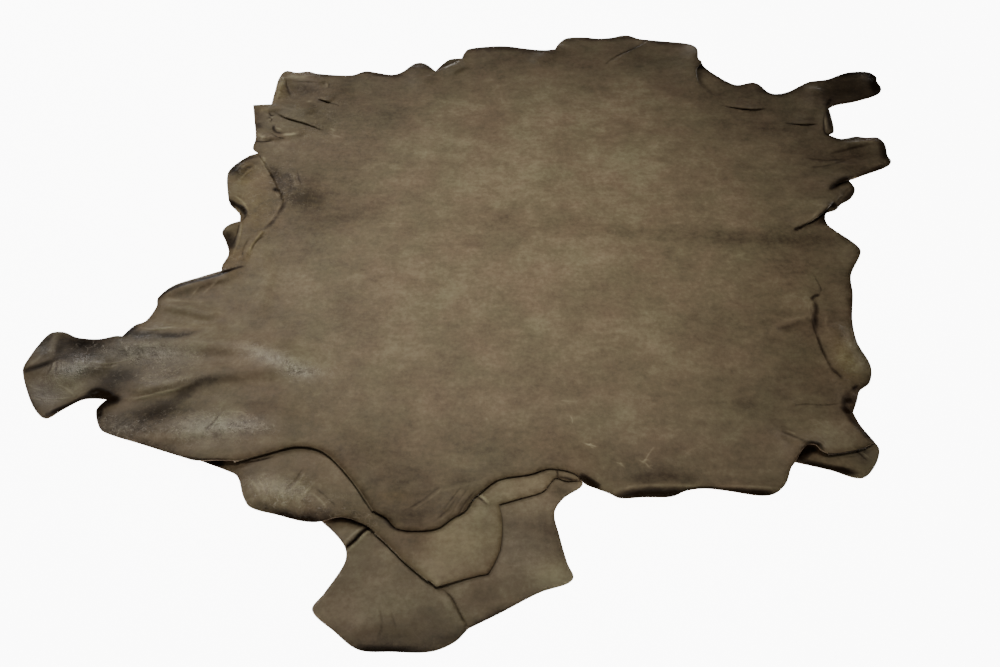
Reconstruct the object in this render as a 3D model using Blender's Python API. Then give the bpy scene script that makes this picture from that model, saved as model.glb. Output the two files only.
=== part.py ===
"""Soft leather hide, one whole skin, lying open on the floor with its front edge pleated under itself.

The sheet is worked out layer by layer. Each layer has an outline and lies at a height that comes from
whatever is under it. Two folds, one going back and one going forward, join a layer to the next one down.
Metres, +Z up, the skin rests on z = 0. The tables are in millimetres on the floor, +x right, +y far side.
"""
import math

import bmesh
import bpy
import numpy as np
from mathutils import Vector
from mathutils.geometry import delaunay_2d_cdt

# Driving sizes, millimetres
THICK = 2.0             # the leather
AIR = 1.5               # left between two layers that lie on each other
LAYER = THICK + AIR     # from the middle of one layer to the middle of the next
EDGE_STEP = 17.0        # points along an outline
FOLD_STEP = 16.0        # points along a crease
OPEN_STEP = 64.0        # points in the open middle of the skin
GROWTH = 0.68           # how fast the points thin out away from outlines and creases
SLACK = 1.6             # half width of the short steep face of a lap
CELL = 5.0              # grid on which one layer is laid over another
SAG = 0.0125            # how far the leather gives on one grid cell before it touches down
RELAX_ROUNDS = 420
EYE_HEIGHT = 1380.0     # the photographer's eye above the floor
EYE_AT = (0.0, -1200.0)  # the floor right under that eye
# The tables give each point where it seems to touch the floor, seen from that eye. A point that lies
# higher comes nearer to the eye by its share of the eye's height, so its place is put right at the end.

# Outline of the main layer, clockwise from the far left corner: x, y, sharp corner
FAR_EDGE = [
    (-522, 692, 1), (-521, 740, 0), (-519, 792, 0), (-507, 820, 0), (-480, 814, 0), (-453, 818, 0),
    (-430, 809, 0), (-350, 803, 0), (-318, 819, 0), (-290, 813, 0), (-255, 805, 0), (-233, 815, 0),
    (-205, 849, 0), (-190, 854, 0), (-175, 847, 0), (-153, 820, 1), (-137, 848, 0), (-120, 868, 0),
    (-92, 873, 1), (-86, 895, 0), (-75, 912, 0), (-20, 923, 0), (20, 923, 0), (60, 914, 0),
    (105, 907, 0), (133, 911, 1), (145, 938, 0), (165, 959, 0), (210, 962, 0), (240, 957, 0),
    (275, 961, 0), (300, 970, 0), (318, 970, 0), (342, 956, 0), (400, 945, 0), (460, 934, 0),
    (476, 917, 0), (474, 872, 1)]
NOTCH_EDGE = [
    (480, 855, 0), (484, 838, 0), (500, 812, 0), (533, 774, 0), (552, 764, 0), (588, 774, 0),
    (602, 766, 0), (618, 737, 0), (635, 729, 0), (665, 738, 0), (700, 763, 0), (722, 777, 0)]
UPPER_STRIP = [
    (765, 787, 0), (800, 806, 0), (826, 816, 0), (866, 816, 0), (880, 797, 0), (877, 781, 0),
    (880, 752, 0), (864, 729, 0), (810, 703, 0), (762, 689, 0), (745, 677, 1), (744, 645, 0),
    (738, 592, 0), (725, 581, 1)]
LOWER_STRIP = [
    (748, 566, 0), (785, 574, 0), (805, 570, 0), (828, 571, 0), (838, 548, 0), (834, 508, 0),
    (837, 491, 0), (824, 473, 0), (765, 443, 0), (735, 428, 1)]
RIGHT_EDGE = [
    (738, 401, 0), (722, 371, 0), (698, 353, 0), (682, 335, 0), (662, 326, 0), (656, 305, 0),
    (660, 287, 0), (700, 236, 0), (706, 214, 0), (672, 150, 0), (664, 100, 0), (648, 35, 0),
    (644, -20, 0), (655, -75, 0), (644, -113, 0), (622, -132, 0), (613, -152, 0), (600, -178, 1),
    (606, -205, 0), (622, -240, 1)]
LEG_FOLD = [(606, -250, 0), (585, -257, 0), (560, -262, 0), (543, -263, 1)]
LEG_ARCH = [(533, -257, 0), (527, -246, 0), (513, -245, 0), (498, -261, 0), (485, -281, 1)]
FRONT_EDGE = [
    (477, -291, 0), (462, -322, 0), (440, -341, 0), (415, -344, 0), (365, -335, 0), (330, -331, 0),
    (300, -335, 0), (275, -346, 0), (230, -347, 0), (192, -349, 0), (175, -340, 0), (145, -324, 0),
    (126, -304, 0), (95, -294, 0), (78, -293, 0), (50, -303, 0), (0, -313, 0), (-20, -327, 0),
    (-45, -352, 1), (-56, -372, 0), (-76, -386, 0), (-97, -403, 0), (-130, -408, 0), (-162, -403, 0),
    (-178, -386, 0)]
FRONT_FOLD = [
    (-200, -372, 1), (-227, -331, 0), (-260, -289, 0), (-290, -260, 0), (-320, -248, 0),
    (-350, -249, 0), (-400, -266, 0), (-438, -277, 1)]
LEFT_EDGE = [
    (-470, -276, 0), (-500, -277, 0), (-525, -270, 0), (-600, -244, 0), (-658, -224, 0),
    (-676, -212, 0), (-692, -175, 0), (-686, -160, 0), (-664, -149, 1)]
LEFT_LEG = [
    (-695, -151, 0), (-722, -152, 0), (-750, -173, 0), (-773, -192, 0), (-798, -172, 0),
    (-825, -130, 0), (-845, -88, 0), (-846, -72, 0), (-836, -30, 0), (-822, 0, 0), (-798, 3, 0),
    (-770, -10, 0), (-730, -14, 0), (-700, -6, 0), (-689, -7, 1), (-672, 20, 0), (-655, 30, 0),
    (-643, 66, 0), (-645, 90, 0), (-622, 121, 0), (-580, 138, 0), (-537, 157, 1)]
LEFT_FLAP = [
    (-540, 174, 0), (-533, 208, 0), (-545, 243, 0), (-557, 270, 0), (-548, 290, 0), (-527, 302, 1),
    (-531, 322, 0), (-555, 352, 0), (-565, 380, 0), (-578, 447, 0), (-570, 474, 0), (-543, 508, 0),
    (-525, 517, 1), (-538, 533, 0), (-538, 570, 0), (-550, 630, 0), (-563, 690, 1)]

# The layer under the front edge, clockwise; its hidden side starts at the back crease
MIDDLE_HIDDEN = [(-140, -362, 0), (-85, -350, 0), (-45, -312, 0), (0, -282, 0), (95, -268, 0), (138, -282, 1)]
MIDDLE_RIGHT = [
    (132, -315, 1), (106, -316, 0), (90, -311, 0), (68, -337, 0), (30, -350, 0), (-2, -361, 1),
    (3, -390, 0), (1, -435, 0), (-8, -462, 0), (-18, -481, 1), (-50, -489, 0), (-95, -503, 1)]
MIDDLE_FOLD = [(-108, -492, 1), (-145, -460, 0), (-170, -434, 0), (-194, -411, 1)]
MIDDLE_LEFT = [
    (-212, -397, 0), (-250, -383, 0), (-285, -392, 0), (-310, -391, 0), (-350, -380, 0),
    (-396, -366, 0), (-411, -346, 0), (-430, -306, 0), (-452, -294, 0), (-482, -289, 0), (-510, -281, 1)]

# The lowest layer, clockwise, from the end of its own back crease
LOWEST_HIDDEN = [(-58, -455, 0), (-35, -385, 0), (0, -325, 0), (60, -290, 0), (110, -288, 1)]
LOWEST_RIGHT = [
    (134, -322, 0), (101, -350, 0), (86, -376, 0), (92, -415, 0), (103, -465, 0), (111, -487, 0),
    (101, -498, 0), (60, -512, 0), (0, -545, 0), (-46, -569, 1), (-66, -590, 0), (-100, -604, 0)]
LOWEST_LEFT = [
    (-155, -604, 0), (-203, -601, 0), (-240, -574, 0), (-277, -540, 0), (-262, -513, 0),
    (-237, -464, 0), (-238, -439, 0), (-258, -412, 0), (-280, -392, 1), (-255, -366, 0), (-214, -368, 1)]

# The tongue under the right front leg, clockwise, from the end of its back crease
TONGUE = [
    (616, -230, 1), (626, -254, 0), (606, -293, 0), (585, -311, 0), (540, -296, 0), (480, -279, 1),
    (500, -236, 0), (525, -222, 1)]

# Folds that join two layers: how deep the hidden part goes back
FRONT_DEPTH = 32
MIDDLE_DEPTH = 22
LEG_DEPTH = 24

# Soft ridges: layer, height, half width, points of the crest
RIDGES = [
    ("main", 11, 24, ((-660, -143), (-560, -108), (-450, -85), (-360, -80))),
    ("main", 10, 34, ((-680, -192), (-560, -212), (-440, -196), (-330, -175))),
    ("main", 10, 24, ((-705, -30), (-600, -18), (-480, -30), (-330, -62))),
    ("main", 5, 10, ((-650, 18), (-590, 12), (-500, 14))),
    ("main", 9, 20, ((-815, -20), (-800, -48), (-740, -70), (-690, -82))),
    ("main", 6, 14, ((-640, 72), (-590, 62), (-520, 40))),
    ("main", 8, 15, ((-640, 96), (-600, 118), (-535, 142), (-505, 150))),
    ("main", 4, 18, ((-470, 210), (-450, 120), (-455, 40))),
    ("main", 5, 8, ((-474, 276), (-496, 236), (-502, 180))),
    ("main", 9, 13, ((-512, 705), (-510, 805))),
    ("main", 8, 14, ((-500, 806), (-450, 800), (-410, 770))),
    ("main", 7, 17, ((-545, 672), (-490, 684), (-420, 660))),
    ("main", 6, 12, ((-530, 575), (-480, 578), (-430, 592))),
    ("main", 5, 26, ((-192, 850), (-190, 800), (-175, 760))),
    ("main", 5, 22, ((-120, 848), (-95, 820))),
    ("main", 5, 24, ((150, 940), (120, 890), (70, 860))),
    ("main", 6, 22, ((735, 765), (725, 715), (715, 660))),
    ("main", 5, 12, ((745, 545), (790, 556), (832, 560))),
    ("main", 5, 12, ((700, 480), (770, 480), (830, 492))),
    ("main", 8, 22, ((622, 30), (618, -30), (628, -95))),
    ("main", 5, 10, ((505, 8), (545, 26), (580, 42))),
    ("main", 5, 9, ((468, -218), (500, -236), (520, -240))),
    ("main", 4, 10, ((-40, -342), (-62, -352), (-95, -372))),
    ("middle", 4, 9, ((-46, -362), (-30, -352), (-16, -362))),
    ("lowest", 3, 12, ((-225, -575), (-180, -560), (-120, -570)))]

# Laps, where one side lies higher in a steep short step: layer, height at the start, middle and end,
# reach of the raised side, +1 where that is left of the way from start to end, points
LAPS = [
    ("main", 9, 9, 0, 70, 1, ((-527, 519), (-500, 474), (-466, 405), (-447, 352), (-474, 280))),
    ("main", 0, 6, 0, 34, 1, ((-508, 662), (-478, 640), (-435, 622), (-384, 590))),
    ("main", 0, 5, 0, 22, 1, ((-418, 713), (-402, 706), (-388, 698))),
    ("main", 4, 5, 0, 30, -1, ((-155, 818), (-122, 845), (-86, 876))),
    ("main", 2, 4, 0, 30, 1, ((358, 944), (305, 898), (254, 850))),
    ("main", 9, 7, 0, 46, -1, ((481, 862), (463, 826), (468, 745))),
    ("main", 0, 4, 0, 36, 1, ((512, 686), (560, 673), (604, 674))),
    ("main", 0, 4, 0, 30, 1, ((648, 621), (680, 618), (708, 619))),
    ("main", 7, 7, 0, 40, -1, ((737, 430), (710, 419), (688, 394))),
    ("main", 8, 9, 0, 60, -1, ((690, 362), (652, 322), (596, 273))),
    ("main", 0, 6, 2, 40, 1, ((612, 104), (586, 82), (577, 20), (588, -96))),
    ("lowest", 0, 4, 4, 40, -1, ((-90, -500), (-72, -524), (-47, -569))),
    ("lowest", 5, 5, 3, 30, 1, ((-244, -442), (-222, -420), (-204, -398)))]

# Rounded lifts: layer, x, y, half length, half width, turn in degrees, height
SWELLS = [
    ("main", -770, -92, 46, 30, -10, 9), ("main", -846, -70, 26, 34, 0, 10),
    ("main", -700, -148, 34, 20, 0, 13), ("main", -694, -172, 24, 26, 0, 12),
    ("main", -768, -190, 34, 16, 30, 6), ("main", -820, 0, 30, 16, 0, 8),
    ("main", -485, -280, 60, 24, 4, 10), ("main", -560, 455, 22, 36, 8, 9),
    ("main", -553, 268, 18, 26, 0, 9), ("main", -562, 372, 22, 26, 30, 8),
    ("main", -558, 680, 18, 26, 0, 6), ("main", 232, -350, 62, 26, 0, 11),
    ("main", 402, -346, 60, 24, 0, 10), ("main", 515, -244, 26, 26, 0, 15),
    ("main", 608, -150, 16, 30, 15, 8), ("main", 680, 340, 22, 20, 40, 7),
    ("main", 706, 214, 26, 34, 0, 6), ("main", 868, 772, 26, 40, 0, 8),
    ("main", 740, 620, 14, 40, 0, 7), ("main", 836, 530, 20, 42, 0, 7),
    ("main", 478, 905, 26, 34, 0, 7), ("main", -20, 925, 70, 22, 0, 5),
    ("main", -260, 230, 120, 70, 20, 1.4), ("main", 250, 520, 170, 80, -15, 1.6),
    ("main", -150, 560, 140, 90, 25, 1.5), ("main", 330, -90, 150, 80, 30, 1.8),
    ("middle", -340, -335, 74, 34, -12, 12), ("middle", -248, -388, 34, 20, -8, 9),
    ("lowest", 104, -488, 26, 22, 0, 4), ("lowest", -270, -540, 28, 24, 0, 4)]

# The outline of the skin fits between these sides
GRID_LEFT, GRID_RIGHT, GRID_FRONT, GRID_BACK = -960, 960, -700, 1060


def clear_scene():
    for thing in list(bpy.data.objects):
        bpy.data.objects.remove(thing, do_unlink=True)


def smooth_line(rows, step, closed=True):
    """Points of a smooth curve through the rows, with corners where a row has a 1, and each row's point."""
    spots = np.array([row[:2] for row in rows], float)
    sharp = [len(row) > 2 and row[2] == 1 for row in rows]
    count = len(spots)

    def way(i, side):
        back = spots[i] - spots[(i - 1) % count]
        ahead = spots[(i + 1) % count] - spots[i]
        if not closed and i == 0 or sharp[i] and side > 0:
            return ahead / np.linalg.norm(ahead)
        if not closed and i == count - 1 or sharp[i]:
            return back / np.linalg.norm(back)
        return (back + ahead) / (np.linalg.norm(back) + np.linalg.norm(ahead))

    line, starts = [], []
    for i in range(count if closed else count - 1):
        j = (i + 1) % count
        span = np.linalg.norm(spots[j] - spots[i])
        parts = max(1, round(span / step))
        start, end = way(i, 1) * span, way(j, -1) * span
        starts.append(len(line))
        for k in range(parts):
            t = k / parts
            line.append((2 * t ** 3 - 3 * t ** 2 + 1) * spots[i] + (t ** 3 - 2 * t ** 2 + t) * start
                        + (3 * t ** 2 - 2 * t ** 3) * spots[j] + (t ** 3 - t ** 2) * end)
    if not closed:
        starts.append(len(line))
        line.append(spots[-1])
    return np.array(line), starts


def main_outline(step):
    """The main layer's outline, and the numbers of its points along each stretch."""
    tables = {
        "far": FAR_EDGE, "notch": NOTCH_EDGE, "upper strip": UPPER_STRIP, "lower strip": LOWER_STRIP,
        "right": RIGHT_EDGE, "leg fold": LEG_FOLD, "leg arch": LEG_ARCH, "front": FRONT_EDGE,
        "front fold": FRONT_FOLD, "left": LEFT_EDGE, "left leg": LEFT_LEG, "left flap": LEFT_FLAP}
    line, starts = smooth_line([row for table in tables.values() for row in table], step)
    parts, first = {}, 0
    for name, table in tables.items():
        parts[name] = list(range(starts[first], starts[first + len(table) - 1] + 1))
        first += len(table)
    return line, parts


def under_outline(crease, tables, step):
    """An under layer's outline from its back crease round through the tables, and each table's points."""
    back = crease[::-1]
    rows = [(*back[-1], 1)] + [row for table in tables for row in table] + [(*back[0], 1)]
    line, starts = smooth_line(rows, step, False)
    parts, first = [], 1
    for table in tables:
        parts.append([len(back) - 1 + i for i in range(starts[first], starts[first + len(table) - 1] + 1)])
        first += len(table)
    return np.concatenate([back, line[1:-1]]), parts


def set_back(points, depth):
    """The same points moved to the right of the way that they run, which is the inside of a clockwise outline."""
    ways = np.gradient(points, axis=0)
    ways /= np.linalg.norm(ways, axis=1)[:, None]
    for _ in range(3):
        ways[1:-1] = (ways[:-2] + ways[1:-1] + ways[2:]) / 3
        ways /= np.linalg.norm(ways, axis=1)[:, None]
    return points + depth * np.stack([ways[:, 1], -ways[:, 0]], axis=1)


def near(spots, crest):
    """Distance from the spots to a line of points, how far along it they lie, and their side of it."""
    crest = np.asarray(crest, float)
    lengths = np.linalg.norm(np.diff(crest, axis=0), axis=1)
    before = np.concatenate([[0], np.cumsum(lengths)])
    best = np.full(len(spots), 1e9)
    along = np.zeros(len(spots))
    side = np.zeros(len(spots))
    for i, span in enumerate(lengths):
        way = (crest[i + 1] - crest[i]) / span
        rel = spots - crest[i]
        t = np.clip(rel @ way, 0, span)
        gap = np.linalg.norm(rel - t[:, None] * way, axis=1)
        closer = gap < best - 1e-9
        best = np.where(closer, gap, best)
        along = np.where(closer, (before[i] + t) / before[-1], along)
        side = np.where(closer, np.sign(way[0] * rel[:, 1] - way[1] * rel[:, 0]), side)
    return best, along, side


def hump(reach):
    """A bell that comes down to nothing at about twice its half width."""
    return np.maximum(1.03 * np.exp(-reach ** 2) - 0.03, 0)


def relief(spots, layer):
    """Height that the ridges, laps and swells of a layer add at each spot."""
    rise = np.zeros(len(spots))
    for name, height, half, crest in RIDGES:
        if name == layer:
            gap, along, _ = near(spots, smooth_line([(*p, 0) for p in crest], 12, False)[0])
            rise += height * hump(gap / half) * np.clip(6 * np.minimum(along, 1 - along) + 0.15, 0, 1)
    for name, first, middle, last, reach, raised, crest in LAPS:
        if name == layer:
            gap, along, side = near(spots, smooth_line([(*p, 0) for p in crest], 10, False)[0])
            signed = gap * side * raised
            high = first * (1 - along) * (1 - 2 * along) + 4 * middle * along * (1 - along) + last * along * (2 * along - 1)
            face = np.clip((signed + SLACK) / (2 * SLACK), 0, 1)
            ends = np.clip(8 * along + (first > 0), 0, 1) * np.clip(8 * (1 - along) + (last > 0), 0, 1)
            rise += np.maximum(high, 0) * face * hump(np.maximum(signed, 0) / reach) * ends
    for name, x, y, long, wide, turn, height in SWELLS:
        if name == layer:
            c, s = math.cos(math.radians(turn)), math.sin(math.radians(turn))
            dx, dy = spots[:, 0] - x, spots[:, 1] - y
            rise += height * hump(np.hypot((dx * c + dy * s) / long, (dy * c - dx * s) / wide))
    return rise


def inside(spots, outline):
    """Which of the spots lie inside a closed outline."""
    found = np.zeros(len(spots), bool)
    x, y = spots[:, 0], spots[:, 1]
    for (x0, y0), (x1, y1) in zip(outline, np.roll(outline, -1, axis=0)):
        if y0 != y1:
            crosses = (y0 > y) != (y1 > y)
            found ^= crosses & (x < (x1 - x0) * (y - y0) / (y1 - y0) + x0)
    return found


class Ground:
    """Heights on a square grid, for laying one layer over another."""
    xs = np.arange(GRID_LEFT, GRID_RIGHT, CELL)
    ys = np.arange(GRID_FRONT, GRID_BACK, CELL)
    spots = np.stack(np.meshgrid(xs, ys), axis=-1).reshape(-1, 2)

    def __init__(self, heights):
        self.heights = heights.reshape(len(self.ys), len(self.xs))

    def at(self, spots):
        gx = (spots[:, 0] - GRID_LEFT) / CELL
        gy = (spots[:, 1] - GRID_FRONT) / CELL
        i, j = gx.astype(int), gy.astype(int)
        fx, fy = gx - i, gy - j
        h = self.heights
        return ((h[j, i] * (1 - fx) + h[j, i + 1] * fx) * (1 - fy)
                + (h[j + 1, i] * (1 - fx) + h[j + 1, i + 1] * fx) * fy)


def widened(heights, cells=2):
    """The highest value within a few cells, so that a layer clears what is under it."""
    for _ in range(cells):
        grown = heights.copy()
        for axis in (0, 1):
            for way in (-1, 1):
                grown = np.maximum(grown, np.roll(heights, way, axis))
        heights = grown
    return heights


def laid_over(support):
    """A soft sheet on the support: it bridges hollows a little and comes down in an even curve."""
    support = widened(support.reshape(len(Ground.ys), len(Ground.xs)))
    sheet = support.copy()
    for _ in range(RELAX_ROUNDS):
        mean = (np.roll(sheet, 1, 0) + np.roll(sheet, -1, 0) + np.roll(sheet, 1, 1) + np.roll(sheet, -1, 1)) / 4
        sheet = np.maximum(support, mean - SAG)
    for _ in range(2):
        mean = (np.roll(sheet, 1, 0) + np.roll(sheet, -1, 0) + np.roll(sheet, 1, 1) + np.roll(sheet, -1, 1)) / 4
        sheet = np.where(sheet > 1e-6, (sheet + mean) / 2, sheet)
    return sheet


def spread_points(outline, layer):
    """Points inside an outline: two rows at each lap, one along each ridge, and an open spread between."""
    rows = [outline]
    for name, _, _, _, _, _, crest in LAPS:
        if name == layer:
            line = smooth_line([(*p, 0) for p in crest], FOLD_STEP, False)[0]
            for offset in (-SLACK, SLACK):
                rows.append(set_back(line, offset)[1:-1])
    for name, _, half, crest in RIDGES:
        if name == layer:
            line = smooth_line([(*p, 0) for p in crest], 1.3 * half, False)[0]
            rows.append(line[1:-1])
    kept = [outline]
    for row in rows[1:]:
        row = row[inside(row, outline)]
        for spot in row:
            gap = min(np.linalg.norm(group - spot, axis=1).min() for group in kept if len(group))
            if gap > 2.4:
                kept.append(spot[None])
    seeds = np.concatenate(kept)
    low, high = outline.min(axis=0), outline.max(axis=0)
    cells = [(x, y, 128.0) for x in np.arange(low[0], high[0], 128) for y in np.arange(low[1], high[1], 128)]
    found = []
    while cells:
        x, y, size = cells.pop()
        middle = np.array([x + size / 2, y + size / 2])
        gap = np.linalg.norm(seeds - middle, axis=1).min()
        wanted = min(OPEN_STEP, EDGE_STEP + GROWTH * max(gap - size / 2, 0))
        if size > wanted * 1.25:
            half = size / 2
            cells += [(x, y, half), (x + half, y, half), (x, y + half, half), (x + half, y + half, half)]
        elif gap > 0.55 * size:
            found.append(middle + size * 0.08 * np.array([math.sin(7 * x + y), math.cos(5 * y + x)]))
    found = np.array(found).reshape(-1, 2)
    return np.concatenate([seeds[len(outline):], found[inside(found, outline)]])


class Sheet:
    """The middle surface of the leather: points with heights, and faces between them."""

    def __init__(self):
        self.points = []
        self.faces = []

    def add_layer(self, outline, layer, ground):
        """Triangles inside the outline, at the height of the ground plus the layer's relief."""
        extra = spread_points(outline, layer)
        flat = np.concatenate([outline, extra])
        edge = list(range(len(outline)))
        found = delaunay_2d_cdt([Vector(p) for p in flat], [], [edge[::-1]], 1, 1e-4)
        assert len(found[0]) == len(flat), (layer, len(found[0]), len(flat))
        start = len(self.points)
        source = [ids[0] for ids in found[3]]
        heights = THICK / 2 + ground.at(flat) + relief(flat, layer)
        self.points += [(*p, h) for p, h in zip(flat, heights)]
        self.faces += [[start + source[i] for i in face] for face in found[2]]
        return [start + i for i in edge]

    def add_fold(self, upper, lower, turns=3, flats=2):
        """Join two rows of points: round at the upper row, back under it, and round again to the lower row."""
        rows = [upper]
        high = np.array([self.points[i] for i in upper])
        low = np.array([self.points[i] for i in lower])
        reach = low[:, :2] - high[:, :2]
        reach /= np.linalg.norm(reach, axis=1)[:, None]
        upper_round = (high[:, 2] - low[:, 2]) / 4
        path = []
        for k in range(1, turns + 1):
            turn = math.pi * k / turns
            path.append((0.0, -math.sin(turn), 1 - math.cos(turn)))
        for k in range(1, flats):
            path.append((k / flats, 0.0, 2.0))
        for k in range(turns):
            turn = math.pi * k / turns
            path.append((1.0, math.sin(turn), 3 - math.cos(turn)))
        for share, out, down in path:
            base = high * (1 - share) + low * share
            level = high[:, 2] - upper_round * down
            flat = base[:, :2] + reach * (upper_round * out)[:, None]
            start = len(self.points)
            self.points += [(*p, z) for p, z in zip(flat, level)]
            rows.append(list(range(start, start + len(flat))))
        rows.append(lower)
        for first, second in zip(rows[:-1], rows[1:]):
            for i in range(len(first) - 1):
                self.faces.append([first[i], first[i + 1], second[i + 1]])
                self.faces.append([first[i], second[i + 1], second[i]])

    def solid(self):
        """The leather at its full thickness, half of it to each side of the middle surface."""
        middle = bmesh.new()
        places = np.array(self.points)
        places[:, :2] += (np.array(EYE_AT) - places[:, :2]) * places[:, 2:] / EYE_HEIGHT
        verts = [middle.verts.new(Vector(p) / 1000) for p in places]
        for face in self.faces:
            middle.faces.new([verts[i] for i in face])
        bmesh.ops.recalc_face_normals(middle, faces=middle.faces[:])
        middle.normal_update()
        middle.verts.ensure_lookup_table()
        top_face = max(middle.faces, key=lambda f: f.calc_area())
        flip = -1 if top_face.normal.z < 0 else 1
        half = THICK / 2000
        body = bmesh.new()
        top = [body.verts.new(v.co + v.normal * half * flip) for v in middle.verts]
        bottom = [body.verts.new(v.co - v.normal * half * flip) for v in middle.verts]
        for face in middle.faces:
            ids = [v.index for v in face.verts][::flip]
            body.faces.new([top[i] for i in ids])
            body.faces.new([bottom[i] for i in reversed(ids)])
        for edge in middle.edges:
            if edge.is_boundary:
                a, b = (v.index for v in edge.verts)
                loop = next(loop for loop in edge.link_loops)
                if (loop.vert.index == a) == (flip > 0):
                    a, b = b, a
                body.faces.new([top[a], top[b], bottom[b], bottom[a]])
        middle.free()
        bmesh.ops.triangulate(body, faces=[f for f in body.faces if len(f.verts) > 3])
        bmesh.ops.recalc_face_normals(body, faces=body.faces[:])
        return body


def leather():
    mat = bpy.data.materials.new("leather")
    mat.use_nodes = True
    shader = mat.node_tree.nodes["Principled BSDF"]
    shader.inputs["Base Color"].default_value = (0.153, 0.115, 0.068, 1)
    shader.inputs["Roughness"].default_value = 0.55
    shader.inputs["Metallic"].default_value = 0.0
    return mat


def support_from(*parts):
    """What a layer has to clear: at each outline under it, that layer's height and so many layers more."""
    support = np.zeros(len(Ground.spots))
    for outline, heights, layers in parts:
        support = np.where(inside(Ground.spots, outline), np.maximum(support, heights + layers * LAYER), support)
    return support


def band(front, back):
    """The outline of the hidden strip between two creases."""
    return np.concatenate([front, back[::-1]])


def build():
    clear_scene()
    main, runs = main_outline(EDGE_STEP)
    front = main[runs["front fold"]]
    front_back = set_back(front, FRONT_DEPTH)
    middle, (_, _, fold, _) = under_outline(
        front_back, [MIDDLE_HIDDEN, MIDDLE_RIGHT, MIDDLE_FOLD, MIDDLE_LEFT], EDGE_STEP)
    second = middle[fold]
    second_back = set_back(second, MIDDLE_DEPTH)
    lowest, _ = under_outline(second_back, [LOWEST_HIDDEN, LOWEST_RIGHT, LOWEST_LEFT], EDGE_STEP)
    leg = main[runs["leg fold"]]
    leg_back = set_back(leg, LEG_DEPTH)
    tongue, _ = under_outline(leg_back, [TONGUE], EDGE_STEP)

    floor = np.zeros(len(Ground.spots))
    lowest_rise = relief(Ground.spots, "lowest")
    middle_ground = Ground(laid_over(support_from(
        (lowest, lowest_rise, 1), (band(second, second_back), lowest_rise, 2))))
    middle_rise = middle_ground.heights.ravel() + relief(Ground.spots, "middle")
    main_ground = Ground(laid_over(support_from(
        (lowest, lowest_rise, 1), (middle, middle_rise, 1), (band(front, front_back), middle_rise, 2),
        (tongue, floor, 1), (band(leg, leg_back), floor, 2))))

    sheet = Sheet()
    main_edge = sheet.add_layer(main, "main", main_ground)
    middle_edge = sheet.add_layer(middle, "middle", middle_ground)
    lowest_edge = sheet.add_layer(lowest, "lowest", Ground(floor))
    tongue_edge = sheet.add_layer(tongue, "tongue", Ground(floor))
    for upper, ids, lower in ((main_edge, runs["front fold"], middle_edge), (middle_edge, fold, lowest_edge),
                              (main_edge, runs["leg fold"], tongue_edge)):
        count = len(ids)
        sheet.add_fold([upper[i] for i in ids], [lower[i] for i in reversed(range(count))])
    body = sheet.solid()

    low = Vector([min(v.co[k] for v in body.verts) for k in range(3)])
    high = Vector([max(v.co[k] for v in body.verts) for k in range(3)])
    middle_point = (low + high) / 2
    bmesh.ops.translate(body, verts=body.verts[:], vec=(-middle_point.x, -middle_point.y, -low.z))
    mesh = bpy.data.meshes.new("hide")
    body.to_mesh(mesh)
    body.free()
    for face in mesh.polygons:
        face.use_smooth = True
    mesh.materials.append(leather())
    hide = bpy.data.objects.new("hide", mesh)
    bpy.context.scene.collection.objects.link(hide)
    print("hide", len(mesh.polygons), "triangles, box", [round(v, 4) for v in hide.dimensions],
          "shift", [round(v, 5) for v in (*middle_point.xy, low.z)])


build()
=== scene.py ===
# %% [markdown]
# # A leather hide on the floor
#
# One whole soft skin, tanned and waxed, lies with its grain side up. Its front edge is pleated under
# itself twice. The sheet is made as the skin really lies: layer on layer, each one resting on what is
# under it, with the folds that join them. Then it gets the swells, laps and puckers of a soft hide, and a
# leather that is mottled, finely grained and a little shiny where it has been stretched.

# %% Frame and sizes
import math

import bmesh
import bpy
import numpy as np
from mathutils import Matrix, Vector, kdtree, noise
from mathutils.geometry import delaunay_2d_cdt


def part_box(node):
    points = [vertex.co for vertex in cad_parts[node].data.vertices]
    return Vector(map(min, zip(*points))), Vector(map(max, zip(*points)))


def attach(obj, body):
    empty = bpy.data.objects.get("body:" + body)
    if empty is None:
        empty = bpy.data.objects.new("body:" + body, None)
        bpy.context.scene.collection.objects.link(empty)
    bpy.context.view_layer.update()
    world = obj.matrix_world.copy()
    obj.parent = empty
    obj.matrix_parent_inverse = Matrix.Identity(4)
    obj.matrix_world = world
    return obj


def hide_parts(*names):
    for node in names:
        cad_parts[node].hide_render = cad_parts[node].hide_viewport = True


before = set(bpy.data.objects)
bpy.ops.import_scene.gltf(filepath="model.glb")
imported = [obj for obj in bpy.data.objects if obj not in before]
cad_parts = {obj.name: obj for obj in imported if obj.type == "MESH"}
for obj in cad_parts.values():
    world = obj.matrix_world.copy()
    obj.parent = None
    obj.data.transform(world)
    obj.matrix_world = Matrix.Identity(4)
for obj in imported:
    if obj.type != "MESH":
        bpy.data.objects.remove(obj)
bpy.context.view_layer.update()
low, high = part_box("hide")

THICK = 2.0             # the leather, millimetres
AIR = 1.5               # left between two layers that lie on each other
LAYER = THICK + AIR     # from the middle of one layer to the middle of the next
EDGE_STEP = 5.0         # points along an outline
FINE_STEP = 4.5         # points beside a crease
OPEN_STEP = 10.0        # points in the open middle of the skin
GROWTH = 0.14           # how fast the points thin out away from outlines and creases
SLACK = 1.6             # half width of the short steep face of a lap
LEAN = 4.0              # how far the lip of a lap leans over the lower side
LIP = 9.0               # width of the leaning lip
LOW_LAP, HIGH_LAP = 6.0, 9.0    # laps up to the first height don't lean, from the second on they lean fully
CELL = 5.0              # grid on which one layer is laid over another
SAG = 0.0125            # how far the leather gives on one grid cell before it touches down
RELAX_ROUNDS = 420      # after so many rounds the laid leather hardly moves any more
# The tables below are measured from the middle of the photograph; the frame's middle is here on them
MIDDLE = (18.49, 181.32)
print("CAD box, millimetres:", [round((b - a) * 1000) for a, b in zip(low, high)])

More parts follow.
